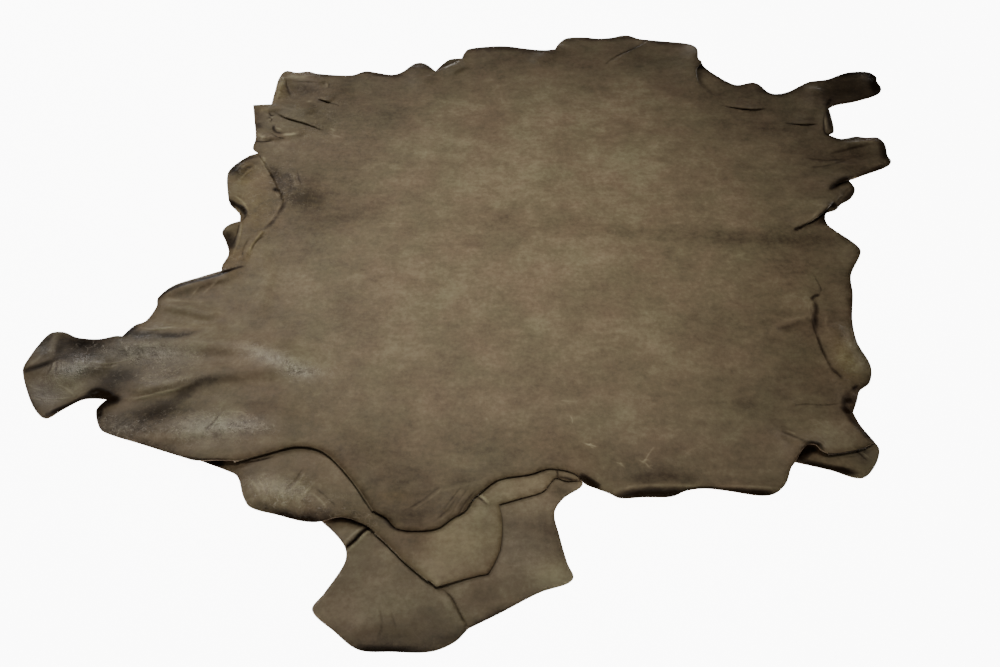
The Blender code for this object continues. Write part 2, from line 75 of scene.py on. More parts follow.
# %% [markdown]
# ## Camera, floor and light
#
# The photographer stands at the front edge and looks down at the skin. The floor is a plain white sweep,
# lit by a wide window high up behind the skin, by a big soft lamp over its middle, and by soft light from
# all round. The lamp leaves the edges and the legs in less light, as in the photograph.

# %% Camera
EYE_HEIGHT = 1.38       # metres above the floor
LOOK_DOWN = math.radians(49)
FOCAL = 1.0             # focal length as a share of the picture's width


def to_frame(x, y, z=0.0):
    """A place on the tables, in millimetres, as a place in the frame, in metres."""
    return Vector(((x - MIDDLE[0]) / 1000, (y - MIDDLE[1]) / 1000, z / 1000))


lens = bpy.data.cameras.new("photo_camera")
lens.sensor_width = 36.0
lens.lens = 36.0 * FOCAL
camera = bpy.data.objects.new("photo_camera", lens)
camera.location = to_frame(0, -1000 * EYE_HEIGHT / math.tan(LOOK_DOWN), 1000 * EYE_HEIGHT)
camera.rotation_euler = (math.pi / 2 - LOOK_DOWN, 0, 0)
bpy.context.scene.collection.objects.link(camera)
bpy.context.scene.camera = camera


# %% [markdown]
# The floor glows a little, so that it stays white beside a dark skin whatever the exposure. Its size only
# has to fill the picture. Both lights are large, so every shadow has a soft edge.

# %% Floor and light
FLOOR_SIZE = 14.0
FLOOR_GLOW = 10.0
WINDOW_PLACE, WINDOW_AIM, WINDOW_SIZE, WINDOW_WATTS = (-1.75, 2.1, 2.5), (-0.2, 0.0, 0.0), (1.8, 1.3), 70
LAMP_PLACE, LAMP_ANGLE, LAMP_RADIUS, LAMP_WATTS = (-0.03, -0.02, 2.4), 44, 0.4, 236
ROOM_LIGHT = 0.20


def linear(hex_colour):
    """A colour as it looks on a screen, turned to the linear values that shaders take."""
    parts = [int(hex_colour[i:i + 2], 16) / 255 for i in (1, 3, 5)]
    return tuple(p / 12.92 if p <= 0.04045 else ((p + 0.055) / 1.055) ** 2.4 for p in parts) + (1.0,)


def simple_material(name, colour, roughness, glow=0.0):
    mat = bpy.data.materials.new(name)
    mat.use_nodes = True
    shader = mat.node_tree.nodes["Principled BSDF"]
    shader.inputs["Base Color"].default_value = linear(colour)
    shader.inputs["Roughness"].default_value = roughness
    shader.inputs["Emission Color"].default_value = linear(colour)
    shader.inputs["Emission Strength"].default_value = glow
    return mat


floor_shape = bmesh.new()
bmesh.ops.create_grid(floor_shape, x_segments=1, y_segments=1, size=FLOOR_SIZE / 2)
floor_mesh = bpy.data.meshes.new("floor")
floor_shape.to_mesh(floor_mesh)
floor_shape.free()
floor_mesh.materials.append(simple_material("floor_white", "#ffffff", 0.8, FLOOR_GLOW))
floor = bpy.data.objects.new("floor", floor_mesh)
bpy.context.scene.collection.objects.link(floor)


def area_light(name, place, aim, size, watts, colour="#ffffff"):
    data = bpy.data.lights.new(name, "AREA")
    data.shape = "RECTANGLE"
    data.size, data.size_y = size
    data.energy = watts
    data.color = linear(colour)[:3]
    light = bpy.data.objects.new(name, data)
    light.location = place
    light.rotation_euler = (Vector(aim) - Vector(place)).to_track_quat("-Z", "Y").to_euler()
    bpy.context.scene.collection.objects.link(light)
    return light


area_light("window", WINDOW_PLACE, WINDOW_AIM, WINDOW_SIZE, WINDOW_WATTS, "#fffcf6")
lamp = bpy.data.lights.new("overhead", "SPOT")
lamp.energy = LAMP_WATTS
lamp.color = linear("#fff8ea")[:3]
lamp.shadow_soft_size = LAMP_RADIUS
lamp.spot_size = math.radians(LAMP_ANGLE)
lamp.spot_blend = 1.0
overhead = bpy.data.objects.new("overhead", lamp)
overhead.location = LAMP_PLACE
bpy.context.scene.collection.objects.link(overhead)
world = bpy.data.worlds.new("soft_room")
world.use_nodes = True
world.node_tree.nodes["Background"].inputs["Color"].default_value = linear("#f4f4f2")
world.node_tree.nodes["Background"].inputs["Strength"].default_value = ROOM_LIGHT
bpy.context.scene.world = world

# %% [markdown]
# ## The outline, layer by layer
#
# A skin's outline tells how it was taken off: four legs, a neck, a belly edge that a knife followed
# loosely. The tables give it in millimetres on the floor, +x right and +y to the far side.

# %% Outlines
# Outline of the main layer, clockwise from the far left corner: x, y, and a 1 at a sharp corner
FAR_EDGE = [
    (-522, 693, 1), (-521, 741), (-519, 795), (-507, 823), (-480, 817), (-453, 821), (-430, 812),
    (-350, 806), (-318, 822), (-290, 816), (-255, 808), (-233, 818), (-205, 852), (-190, 857),
    (-175, 850), (-153, 823, 1), (-137, 851), (-120, 871), (-92, 876, 1), (-86, 898), (-75, 915),
    (-20, 926), (20, 926), (60, 917), (105, 910), (133, 914, 1), (145, 941), (165, 962), (210, 965),
    (240, 960), (275, 964), (300, 973), (318, 973), (342, 959), (400, 948), (460, 937), (478, 920),
    (476, 875, 1)]
NOTCH_EDGE = [
    (482, 858), (486, 841), (502, 815), (535, 777), (554, 767), (590, 777), (604, 769), (620, 740),
    (637, 732), (667, 741), (702, 766), (724, 780)]
UPPER_STRIP = [
    (767, 789), (802, 808), (828, 818), (871, 818), (885, 799), (882, 783), (885, 752), (869, 729),
    (812, 703), (764, 689), (747, 677, 1), (746, 645), (740, 592), (727, 581, 1)]
LOWER_STRIP = [
    (749, 567), (786, 575), (806, 571), (832, 571), (842, 548), (838, 508), (841, 491), (828, 473),
    (766, 442), (736, 427, 1)]
RIGHT_EDGE = [
    (742, 400), (726, 370), (702, 352), (686, 334), (666, 325), (660, 304), (664, 286), (704, 235),
    (710, 213), (676, 149), (668, 99), (652, 34), (648, -21), (659, -76), (648, -114), (626, -133),
    (617, -153), (604, -179, 1), (610, -206), (626, -241, 1)]
LEG_FOLD = [
    (609, -250), (585, -257), (560, -262), (543, -263, 1)]
LEG_ARCH = [
    (533, -257), (527, -246), (513, -245), (498, -261), (485, -281, 1)]
FRONT_EDGE = [
    (477, -291), (462, -322), (440, -341), (415, -344), (365, -335), (330, -331), (300, -335),
    (275, -346), (230, -347), (192, -349), (175, -340), (155, -331), (137, -322), (126, -306),
    (110, -297), (95, -294), (78, -293), (50, -303), (0, -313), (-20, -327), (-45, -352, 1),
    (-56, -372), (-76, -386), (-97, -403), (-130, -408), (-162, -403), (-178, -386)]
FRONT_FOLD = [
    (-200, -372, 1), (-227, -331), (-260, -289), (-290, -260), (-320, -248), (-350, -249),
    (-400, -266), (-438, -277, 1)]
LEFT_EDGE = [
    (-470, -276), (-500, -277), (-525, -270), (-600, -244), (-658, -224), (-676, -212), (-692, -175),
    (-687, -161), (-680, -151, 1)]
LEFT_LEG = [
    (-700, -149), (-722, -152), (-750, -173), (-773, -192), (-798, -172), (-825, -130), (-845, -88),
    (-846, -72), (-836, -30), (-822, 0), (-798, 3), (-770, -10), (-730, -14), (-700, -6),
    (-689, -7, 1), (-672, 20), (-655, 30), (-643, 66), (-645, 90), (-622, 121), (-580, 142),
    (-538, 161, 1)]
LEFT_FLAP = [
    (-540, 174), (-533, 208), (-545, 243), (-557, 270), (-548, 290), (-527, 302, 1), (-531, 322),
    (-555, 352), (-565, 380), (-578, 447), (-570, 474), (-543, 508), (-525, 517, 1), (-538, 533),
    (-538, 570), (-550, 630), (-563, 690, 1)]

# The layer under the front edge, clockwise; its hidden side starts at the back crease
MIDDLE_HIDDEN = [
    (-140, -362), (-85, -350), (-45, -312), (0, -282), (95, -268), (138, -282, 1)]
MIDDLE_RIGHT = [
    (132, -315, 1), (106, -316), (90, -311), (68, -337), (30, -350), (-2, -361, 1), (3, -390),
    (1, -435), (-8, -462), (-18, -481, 1), (-50, -489), (-95, -503, 1)]
MIDDLE_FOLD = [
    (-108, -492, 1), (-145, -460), (-170, -434), (-194, -411, 1)]
MIDDLE_LEFT = [
    (-212, -397), (-250, -383), (-285, -392), (-310, -391), (-350, -380), (-396, -366), (-411, -346),
    (-427, -308), (-448, -296), (-480, -283), (-519, -267, 1)]

# The lowest layer, clockwise, from the end of its own back crease
LOWEST_HIDDEN = [
    (-58, -455), (-35, -385), (0, -325), (60, -290), (110, -288, 1)]
LOWEST_RIGHT = [
    (134, -322), (101, -350), (86, -376), (92, -415), (103, -465), (111, -487), (101, -498),
    (60, -512), (0, -545), (-46, -569, 1), (-66, -590), (-100, -604)]
LOWEST_LEFT = [
    (-155, -604), (-203, -601), (-240, -574), (-277, -540), (-262, -513), (-237, -464), (-238, -439),
    (-258, -412), (-280, -392, 1), (-255, -366), (-214, -368, 1)]

# The tongue under the right front leg, clockwise, from the end of its back crease
TONGUE = [
    (620, -231, 1), (630, -255), (610, -294), (585, -312), (540, -296), (480, -279, 1), (500, -236),
    (525, -222, 1)]

# Folds that join two layers: how deep the hidden part goes back
FRONT_DEPTH = 32
MIDDLE_DEPTH = 22
LEG_DEPTH = 24

# %% [markdown]
# ## The main folds
#
# A soft hide keeps long ridges where it was folded, laps where it slid over itself, and rounded lifts
# where its edge curls up. Each is a row in a table of its layer, placed from the photograph.

# %% Folds
# Soft ridges by layer: height, half width, points of the crest
RIDGES = {
    "main": [
        (11, 24, (-660, -143), (-560, -108), (-450, -85), (-360, -80)),
        (10, 34, (-680, -192), (-560, -212), (-440, -196), (-330, -175)),
        (10, 24, (-705, -30), (-600, -18), (-480, -30), (-330, -62)),
        (5, 10, (-650, 18), (-590, 12), (-500, 14)),
        (9, 20, (-815, -20), (-800, -48), (-740, -70), (-690, -82)),
        (6, 14, (-640, 72), (-590, 62), (-520, 40)),
        (8, 15, (-640, 96), (-600, 118), (-535, 142), (-505, 150)),
        (4, 18, (-470, 210), (-450, 120), (-455, 40)), (5, 8, (-474, 276), (-496, 236), (-502, 180)),
        (6, 15, (-512, 705), (-510, 805)), (4, 16, (-500, 806), (-450, 800), (-410, 770)),
        (7, 17, (-545, 672), (-490, 684), (-420, 660)), (6, 12, (-530, 575), (-480, 578), (-430, 592)),
        (5, 26, (-192, 850), (-190, 800), (-175, 760)), (5, 22, (-120, 848), (-95, 820)),
        (5, 24, (150, 940), (120, 890), (70, 860)), (6, 22, (735, 765), (725, 715), (715, 660)),
        (5, 12, (745, 545), (790, 556), (832, 560)), (5, 12, (700, 480), (770, 480), (830, 492)),
        (8, 22, (622, 30), (618, -30), (628, -95)), (5, 10, (505, 8), (545, 26), (580, 42)),
        (5, 9, (468, -218), (500, -236), (520, -240)), (4, 10, (-40, -342), (-62, -352), (-95, -372))],
    "middle": [
        (4, 9, (-46, -362), (-30, -352), (-16, -362))],
    "lowest": [
        (3, 12, (-225, -575), (-180, -560), (-120, -570))]}

# Laps by layer, where one side lies higher in a steep short step: height at the start, middle and end,
# reach of the raised side, +1 where that is left of the way from start to end, points
LAPS = {
    "main": [
        (2, 5, 0, 70, 1, (-527, 519), (-500, 474), (-466, 405), (-447, 352), (-474, 280)),
        (0, 4, 0, 34, 1, (-508, 662), (-478, 640), (-435, 622), (-384, 590)),
        (0, 5, 0, 22, 1, (-418, 713), (-402, 706), (-388, 698)),
        (4, 5, 0, 30, -1, (-155, 818), (-122, 845), (-86, 876)),
        (2, 4, 0, 30, 1, (358, 944), (305, 898), (254, 850)),
        (9, 7, 0, 46, -1, (481, 862), (463, 826), (468, 745)),
        (0, 4, 0, 36, 1, (512, 686), (560, 673), (604, 674)),
        (0, 4, 0, 30, 1, (648, 621), (680, 618), (708, 619)),
        (7, 7, 0, 40, -1, (737, 430), (710, 419), (688, 394)),
        (5, 9, 0, 60, -1, (690, 362), (652, 322), (596, 273)),
        (0, 6, 2, 40, 1, (612, 104), (586, 82), (577, 20), (588, -96))],
    "lowest": [
        (0, 4, 4, 40, -1, (-90, -500), (-72, -524), (-47, -569)),
        (5, 5, 3, 30, 1, (-244, -442), (-222, -420), (-204, -398))]}

# Rounded lifts by layer: x, y, half length, half width, turn in degrees, height
SWELLS = {
    "main": [
        (-770, -92, 46, 30, -10, 9), (-846, -70, 26, 34, 0, 10), (-700, -148, 34, 20, 0, 13),
        (-694, -172, 24, 26, 0, 12), (-768, -190, 34, 16, 30, 6), (-820, 0, 30, 16, 0, 8),
        (-485, -280, 60, 24, 4, 10), (-560, 455, 22, 36, 8, 9), (-553, 268, 18, 26, 0, 9),
        (-562, 372, 22, 26, 30, 8), (-558, 680, 18, 26, 0, 6), (232, -350, 62, 26, 0, 11),
        (402, -346, 60, 24, 0, 10), (515, -244, 26, 26, 0, 15), (608, -150, 16, 30, 15, 8),
        (680, 340, 22, 20, 40, 7), (706, 214, 26, 34, 0, 6), (868, 772, 26, 40, 0, 8),
        (740, 620, 14, 40, 0, 7), (836, 530, 20, 42, 0, 7), (478, 905, 26, 34, 0, 7),
        (-20, 925, 70, 22, 0, 5), (-260, 230, 120, 70, 20, 1.4), (250, 520, 170, 80, -15, 1.6),
        (-150, 560, 140, 90, 25, 1.5), (330, -90, 150, 80, 30, 1.8)],
    "middle": [
        (-340, -335, 74, 34, -12, 12), (-248, -388, 34, 20, -8, 9)],
    "lowest": [
        (104, -488, 26, 22, 0, 4), (-270, -540, 28, 24, 0, 4)]}


# %% [markdown]
# ## Curves through the tables
#
# Between the rows the edge runs in smooth curves, with corners only where the skin has them. An under
# layer starts at its back crease, which is the fold's front crease set back by the depth of the pleat.

# %% Curves
def smooth_line(rows, step, closed=True):
    """Points of a smooth curve through the rows, with corners where a row says so, and each row's point."""
    spots = np.array([row[:2] for row in rows], float)
    sharp = [len(row) > 2 for row in rows]
    count = len(spots)

    def way(i, side):
        back = spots[i] - spots[(i - 1) % count]
        ahead = spots[(i + 1) % count] - spots[i]
        if not closed and i == 0 or sharp[i] and side > 0:
            return ahead / np.linalg.norm(ahead)
        if not closed and i == count - 1 or sharp[i]:
            return back / np.linalg.norm(back)
        return (back + ahead) / (np.linalg.norm(back) + np.linalg.norm(ahead))

    line, starts = [], []
    for i in range(count if closed else count - 1):
        j = (i + 1) % count
        span = np.linalg.norm(spots[j] - spots[i])
        parts = max(1, round(span / step))
        start, end = way(i, 1) * span, way(j, -1) * span
        starts.append(len(line))
        for k in range(parts):
            t = k / parts
            line.append((2 * t ** 3 - 3 * t ** 2 + 1) * spots[i] + (t ** 3 - 2 * t ** 2 + t) * start
                        + (3 * t ** 2 - 2 * t ** 3) * spots[j] + (t ** 3 - t ** 2) * end)
    if not closed:
        starts.append(len(line))
        line.append(spots[-1])
    return np.array(line), starts


def main_outline(step):
    """The main layer's outline, and the numbers of its points along each stretch."""
    tables = {
        "far": FAR_EDGE, "notch": NOTCH_EDGE, "upper strip": UPPER_STRIP, "lower strip": LOWER_STRIP,
        "right": RIGHT_EDGE, "leg fold": LEG_FOLD, "leg arch": LEG_ARCH, "front": FRONT_EDGE,
        "front fold": FRONT_FOLD, "left": LEFT_EDGE, "left leg": LEFT_LEG, "left flap": LEFT_FLAP}
    line, starts = smooth_line([row for table in tables.values() for row in table], step)
    parts, first = {}, 0
    for name, table in tables.items():
        parts[name] = list(range(starts[first], starts[first + len(table) - 1] + 1))
        first += len(table)
    return line, parts


def under_outline(crease, tables, step):
    """An under layer's outline from its back crease round through the tables, and each table's points."""
    back = crease[::-1]
    rows = [(*back[-1], 1)] + [row for table in tables for row in table] + [(*back[0], 1)]
    line, starts = smooth_line(rows, step, False)
    parts, first = [], 1
    for table in tables:
        parts.append([len(back) - 1 + i for i in range(starts[first], starts[first + len(table) - 1] + 1)])
        first += len(table)
    return np.concatenate([back, line[1:-1]]), parts


def set_back(points, depth):
    """The same points moved to the right of the way that they run: into a clockwise outline."""
    ways = np.gradient(points, axis=0)
    ways /= np.linalg.norm(ways, axis=1)[:, None]
    for _ in range(3):
        ways[1:-1] = (ways[:-2] + ways[1:-1] + ways[2:]) / 3
        ways /= np.linalg.norm(ways, axis=1)[:, None]
    return points + depth * np.stack([ways[:, 1], -ways[:, 0]], axis=1)


# %% [markdown]
# ## Puckers and creases
#
# Near its edge and on the legs the skin draws up in small puckers, and narrow creases run where it was
# bent sharply. A crease is a shallow groove with a low swell at each side; its lightness is painted shade in
# a groove and painted highlight on a ridge. Some rows have no depth: they are scratches, or painted shade
# and painted highlight standing for a fold's shadow and crest and for the shadow under a lifted edge.

# %% Puckers and creases
# Fine puckers by layer: x, y, half length, half width, turn in degrees, height, wave length
PUCKERS = {
    "main": [
        (-600, -60, 190, 130, -8, 2.2, 46), (-560, -195, 150, 50, -14, 2, 30),
        (-770, -80, 80, 90, 20, 2.2, 28), (-590, 90, 90, 60, 20, 1.6, 24),
        (-490, 620, 90, 110, -30, 2.4, 30), (-440, 760, 110, 60, -20, 2.4, 34),
        (-560, 450, 40, 60, 60, 2, 20), (-515, 300, 50, 110, 80, 1.6, 22),
        (-420, 400, 60, 130, 70, 2, 34), (-70, -370, 60, 40, 35, 1.8, 18),
        (250, -270, 140, 60, 10, 1.2, 26), (500, -230, 90, 50, -20, 2, 24),
        (600, -60, 60, 170, 85, 1.8, 30), (690, 400, 70, 70, 45, 2, 26),
        (720, 640, 70, 110, 80, 2, 26), (640, 500, 150, 90, 10, 1.6, 40),
        (480, 800, 60, 90, 80, 1.8, 30), (60, 860, 240, 60, 5, 1.4, 50),
        (350, 900, 160, 60, -10, 1.4, 40), (820, 760, 90, 60, 5, 1.8, 30)],
    "middle": [
        (-340, -330, 110, 60, -20, 2.2, 24), (-60, -430, 80, 80, 20, 0.8, 40)],
    "lowest": [
        (-160, -540, 160, 80, 10, 1, 50), (40, -440, 90, 120, 60, 1, 50)]}
# Narrow creases and lines by layer: depth (a ridge where it is less than 0), half width, lightness (below 0
# painted shade, above 0 painted highlight, and on the few scratches their own pale colour), points
CREASES = {
    "main": [
        (1.5, 3.2, -0.36, (-643, 84), (-638, 97), (-625, 111), (-600, 125), (-575, 135), (-550, 145),
         (-530, 156), (-514, 165)),
        (-1.5, 3, 0.12, (-590, 140), (-565, 151), (-545, 158)),
        (0, 9, -0.07, (-618, 100), (-600, 106), (-585, 108)),
        (-1, 2.5, 0.1, (-583, 92), (-577, 108), (-570, 122)),
        (-1, 3, 0.11, (-562, 98), (-552, 115), (-538, 138)),
        (-1, 3.5, 0.07, (-640, 78), (-615, 82), (-580, 78), (-550, 80)),
        (-0.8, 9, 0.05, (-436, 190), (-452, 120), (-470, 50)),
        (-2, 6, 0.12, (-811, 4), (-811, -20), (-807, -50)),
        (1.5, 7, -0.14, (-795, -6), (-795, -30), (-792, -52)),
        (2, 5.5, -0.36, (-846, -88), (-830, -83), (-814, -76), (-798, -67)),
        (1, 7, -0.12, (-800, -66), (-785, -58), (-762, -54)),
        (-1, 4, 0.12, (-838, -74), (-828, -62), (-820, -48)),
        (1.2, 1.8, -0.16, (-798, -68), (-797, -84), (-800, -98)),
        (1.2, 1.8, -0.16, (-790, -68), (-787, -84), (-783, -97)),
        (1, 1.5, -0.12, (-782, -70), (-779, -80), (-774, -88)),
        (-1, 1.8, 0.14, (-794, -66), (-793, -80), (-796, -92)),
        (-1, 1.8, 0.12, (-786, -66), (-783, -78), (-780, -88)),
        (1, 1.6, -0.12, (-746, -80), (-743, -92), (-738, -97), (-732, -90)),
        (-0.8, 1.8, 0.12, (-750, -76), (-742, -81), (-733, -79)),
        (-1, 2, 0.12, (-827, -117), (-812, -128), (-798, -132)),
        (-1, 2, 0.11, (-802, -147), (-780, -151), (-756, -150), (-740, -147)),
        (-0.8, 1.8, 0.09, (-772, -120), (-752, -132), (-738, -144)),
        (0, 4.4, -0.48, (-776, -187), (-758, -175), (-738, -162), (-720, -149), (-700, -144)),
        (1.5, 5, -0.6, (-717, -141), (-704, -132), (-690, -136), (-670, -146)),
        (0, 12, -0.12, (-730, -128), (-700, -118), (-668, -128)),
        (1.5, 5, -0.6, (-712, -142), (-692, -145), (-676, -149), (-660, -150)),
        (1, 5.5, -0.5, (-692, -166), (-686, -178), (-682, -194)),
        (1, 3.2, -0.4, (-689, -163), (-677, -155), (-664, -150)),
        (-0.8, 1.8, 0.1, (-730, -68), (-705, -72), (-680, -68), (-655, -58)),
        (-0.8, 1.8, 0.09, (-722, -79), (-700, -81), (-680, -76)),
        (1, 3, -0.28, (-690, -4), (-682, 6), (-672, 18)),
        (-1, 2.4, 0.11, (-668, 15), (-640, 9), (-615, 12), (-592, 17)),
        (1.5, 5, -0.3, (-685, -8), (-677, 6), (-662, 17)),
        (1.5, 6, -0.14, (-678, 2), (-655, -4), (-630, -2)),
        (1.2, 4.5, -0.14, (-632, -1), (-600, -8), (-572, -4), (-550, 12)),
        (-1.2, 4, 0.1, (-655, -150), (-625, -149), (-590, -140), (-560, -127), (-530, -110)),
        (1, 13, -0.13, (-618, -196), (-590, -180), (-562, -158), (-535, -124), (-505, -105)),
        (2, 3, -0.18, (-479, -184), (-486, -201), (-497, -219)),
        (-1, 2, 0.09, (-472, -180), (-484, -204), (-491, -222)),
        (-0.8, 2, 0.09, (-470, -177), (-440, -180), (-424, -196)),
        (1, 2, -0.08, (-540, -188), (-520, -204), (-512, -226)),
        (0, 2.5, -0.2, (-530, -268), (-505, -274), (-480, -276), (-445, -276)),
        (0, 5, -0.14, (-454, 813), (-430, 806), (-400, 803), (-380, 805)),
        (-1.5, 6, 0.17, (-494, 801), (-472, 797), (-457, 799)),
        (2.5, 3.5, -0.16, (-502, 792), (-497, 765), (-488, 740), (-481, 722)),
        (-2, 5, 0.09, (-513, 700), (-512, 745), (-508, 790)),
        (1, 2.5, -0.12, (-498, 785), (-470, 781), (-440, 778), (-412, 776)),
        (-1, 3, 0.09, (-405, 778), (-403, 760)), (1, 2.6, -0.12, (-398, 774), (-397, 752)),
        (2, 2.8, -0.4, (-415, 711), (-402, 704), (-389, 697)),
        (1, 1.8, -0.12, (-389, 697), (-375, 692), (-364, 685)),
        (-0.8, 2, 0.1, (-412, 717), (-398, 711)), (-1.5, 4, 0.18, (-443, 707), (-429, 701)),
        (-1, 6, 0.07, (-558, 690), (-540, 692), (-525, 696)),
        (-1, 3.8, 0.18, (-562, 672), (-556, 652), (-549, 634)),
        (0, 10, -0.11, (-540, 625), (-532, 605)),
        (1, 3.4, -0.16, (-508, 660), (-490, 645), (-470, 636), (-450, 627), (-428, 616)),
        (0.6, 6, -0.08, (-430, 617), (-405, 602), (-386, 590)),
        (1.5, 2, -0.23, (-522, 661), (-516, 650), (-508, 653)),
        (1.5, 2, -0.2, (-521, 645), (-512, 636), (-514, 625)),
        (-1.2, 2.2, 0.19, (-520, 634), (-510, 645)),
        (2, 3.2, -0.35, (-504, 614), (-503, 602), (-495, 590), (-480, 586)),
        (-1.5, 2.8, 0.19, (-497, 607), (-487, 599)),
        (-1.5, 4.5, 0.23, (-479, 583), (-465, 582), (-451, 586)),
        (-1.2, 4.5, 0.18, (-537, 587), (-528, 576), (-519, 572)),
        (1.2, 2, -0.19, (-507, 586), (-490, 573), (-476, 568)),
        (1.5, 2.2, -0.3, (-539, 558), (-520, 556), (-502, 559)),
        (-1, 3, 0.09, (-377, 605), (-365, 593)),
        (-1, 2.6, 0.08, (-378, 586), (-364, 578), (-348, 573)),
        (0, 9, -0.22, (-567, 472), (-562, 458), (-556, 449)),
        (1, 4.5, -0.22, (-573, 440), (-567, 468), (-555, 488), (-536, 503), (-518, 506)),
        (0, 7, -0.09, (-541, 464), (-530, 478), (-520, 490)),
        (-1.2, 3, 0.13, (-512, 506), (-505, 489)),
        (-1, 2.5, 0.09, (-549, 430), (-536, 455), (-527, 470)),
        (0, 11, -0.05, (-508, 500), (-490, 470), (-472, 430), (-455, 395)),
        (2, 3.4, -0.28, (-488, 447), (-479, 433)), (2, 3.6, -0.5, (-473, 402), (-463, 392)),
        (1.2, 2, -0.16, (-461, 397), (-452, 384), (-455, 372), (-447, 364)),
        (-1, 2, 0.12, (-467, 386), (-458, 374)),
        (0.8, 2, -0.07, (-450, 452), (-440, 420), (-436, 398)),
        (0.8, 2, -0.07, (-432, 464), (-424, 430), (-414, 410)),
        (-0.8, 2, 0.07, (-442, 457), (-432, 425), (-428, 405)),
        (1.5, 4.5, -0.2, (-442, 362), (-449, 332), (-459, 301), (-473, 275)),
        (-1.2, 3, 0.09, (-453, 356), (-457, 325), (-469, 295)),
        (1.5, 5, -0.52, (-563, 366), (-548, 352), (-533, 343), (-523, 331), (-516, 319)),
        (-1, 2.2, 0.16, (-552, 378), (-538, 367), (-525, 351), (-517, 336), (-511, 319)),
        (0, 3, 0.12, (-541, 337), (-530, 325)),
        (1.2, 2, -0.22, (-530, 346), (-522, 330), (-518, 312), (-525, 299)),
        (0, 9, -0.25, (-549, 269), (-541, 255), (-533, 236), (-530, 218)),
        (-1.2, 2.5, 0.11, (-524, 301), (-520, 270), (-521, 230), (-524, 200)),
        (1.2, 1.8, -0.17, (-527, 299), (-526, 270), (-528, 235)),
        (-1.5, 2.6, 0.17, (-474, 275), (-485, 250), (-492, 229), (-492, 204)),
        (1, 2, -0.12, (-470, 259), (-484, 240), (-492, 213)),
        (1, 2, -0.09, (-500, 252), (-506, 220), (-503, 190)),
        (0, 9, -0.1, (-85, 906), (-40, 916), (20, 917), (80, 906), (132, 903)),
        (0, 8, -0.08, (-150, 830), (-125, 852), (-95, 868)),
        (0, 7, -0.08, (-215, 838), (-190, 846), (-165, 832)),
        (0, 4, -0.15, (-345, 814), (-315, 815), (-285, 806), (-250, 802), (-232, 806)),
        (1.8, 2.4, -0.2, (354, 940), (335, 924), (310, 905), (285, 888), (268, 872), (253, 852)),
        (0.5, 7, -0.32, (468, 836), (478, 838), (487, 832)),
        (1.5, 6, -0.13, (474, 822), (470, 795), (474, 765), (484, 745)),
        (0, 6, -0.08, (478, 745), (493, 738)),
        (1.8, 2.4, -0.3, (507, 687), (530, 680), (555, 675), (578, 671), (603, 676)),
        (1.6, 2.2, -0.26, (637, 622), (660, 619), (685, 617), (709, 619)),
        (0, 3, -0.24, (743, 682), (740, 655), (738, 630), (735, 600)),
        (-1, 1.8, 0.14, (731, 646), (728, 620), (726, 595)),
        (1, 2, -0.22, (733, 657), (722, 612), (720, 585), (738, 572)),
        (0.5, 4, -0.28, (744, 685), (752, 700), (760, 713)),
        (2, 4, -0.14, (713, 514), (745, 526), (780, 538), (806, 545)),
        (-1.2, 4, 0.09, (760, 551), (800, 556), (829, 556)),
        (1.2, 3, -0.09, (655, 502), (700, 492), (742, 497)),
        (1.2, 3, -0.09, (662, 468), (710, 478), (762, 502)),
        (0.8, 6, -0.5, (690, 398), (706, 414), (722, 428), (739, 435)),
        (0, 4, -0.17, (736, 413), (737, 395), (725, 378), (708, 362)),
        (0.5, 8, -0.6, (679, 352), (690, 343)),
        (1.5, 3.6, -0.42, (677, 347), (665, 334), (650, 318), (639, 304)),
        (1, 2.4, -0.34, (641, 304), (622, 295), (608, 286), (598, 281)),
        (1, 3.6, -0.42, (607, 282), (597, 278), (592, 273)),
        (0, 7, -0.15, (656, 320), (650, 300), (640, 292)),
        (-1, 3, 0.07, (669, 352), (650, 332), (631, 311)),
        (1.5, 3, -0.42, (586, 83), (592, 91), (604, 97)),
        (1, 2, -0.12, (604, 98), (610, 110), (608, 128), (605, 146)),
        (1.2, 4.6, -0.26, (591, 84), (591, 62), (584, 38), (578, 6)),
        (1, 3, -0.15, (579, 8), (580, -30), (585, -60), (592, -90), (601, -105)),
        (-1.5, 5, 0.08, (511, 22), (535, 32), (560, 40), (581, 44)),
        (1.2, 4, -0.08, (507, 8), (530, 16), (556, 27)),
        (-0.8, 3, 0.07, (606, 42), (600, 20), (604, -2)),
        (1.2, 3, -0.19, (591, -87), (598, -96), (603, -105)), (1, 3, -0.34, (625, -121), (613, -131)),
        (1.5, 4.5, -0.52, (609, -152), (597, -157)), (1.5, 4.5, -0.45, (587, -171), (599, -181)),
        (0.5, 5, -0.24, (605, -138), (594, -160), (594, -180), (602, -205), (616, -228), (629, -247)),
        (1, 1.8, -0.1, (500, -166), (525, -162), (560, -164), (587, -160)),
        (1.2, 2.2, -0.14, (473, -218), (490, -228), (511, -240)),
        (-0.8, 2, 0.09, (482, -217), (499, -226)),
        (0, 4, -0.5, (489, -277), (500, -266), (509, -251), (520, -243), (531, -246), (536, -257)),
        (0, 7, -0.48, (184, -348), (205, -344), (235, -341), (275, -340), (302, -337)),
        (0, 4.5, -0.42, (296, -338), (322, -333), (350, -334)),
        (0, 6, -0.48, (343, -334), (370, -337), (400, -340), (442, -342)),
        (-1.2, 2.8, 0.12, (182, -338), (200, -331), (230, -326), (262, -325), (300, -326), (332, -328)),
        (-1.2, 2.6, 0.1, (335, -328), (380, -327), (420, -329), (451, -332)),
        (0, 10, -0.06, (215, -316), (260, -310), (330, -314)),
        (0, 1.5, 0.18, (140, -243), (150, -247), (161, -250)),
        (0, 1.5, 0.16, (145, -248), (153, -244)), (0, 1.3, 0.12, (150, -250), (156, -254)),
        (0, 1.4, 0.14, (189, -281), (197, -284), (204, -292)),
        (0, 1.3, 0.12, (196, -281), (203, -286)),
        (0, 1.5, 0.15, (233, -283), (241, -274), (246, -265), (257, -250)),
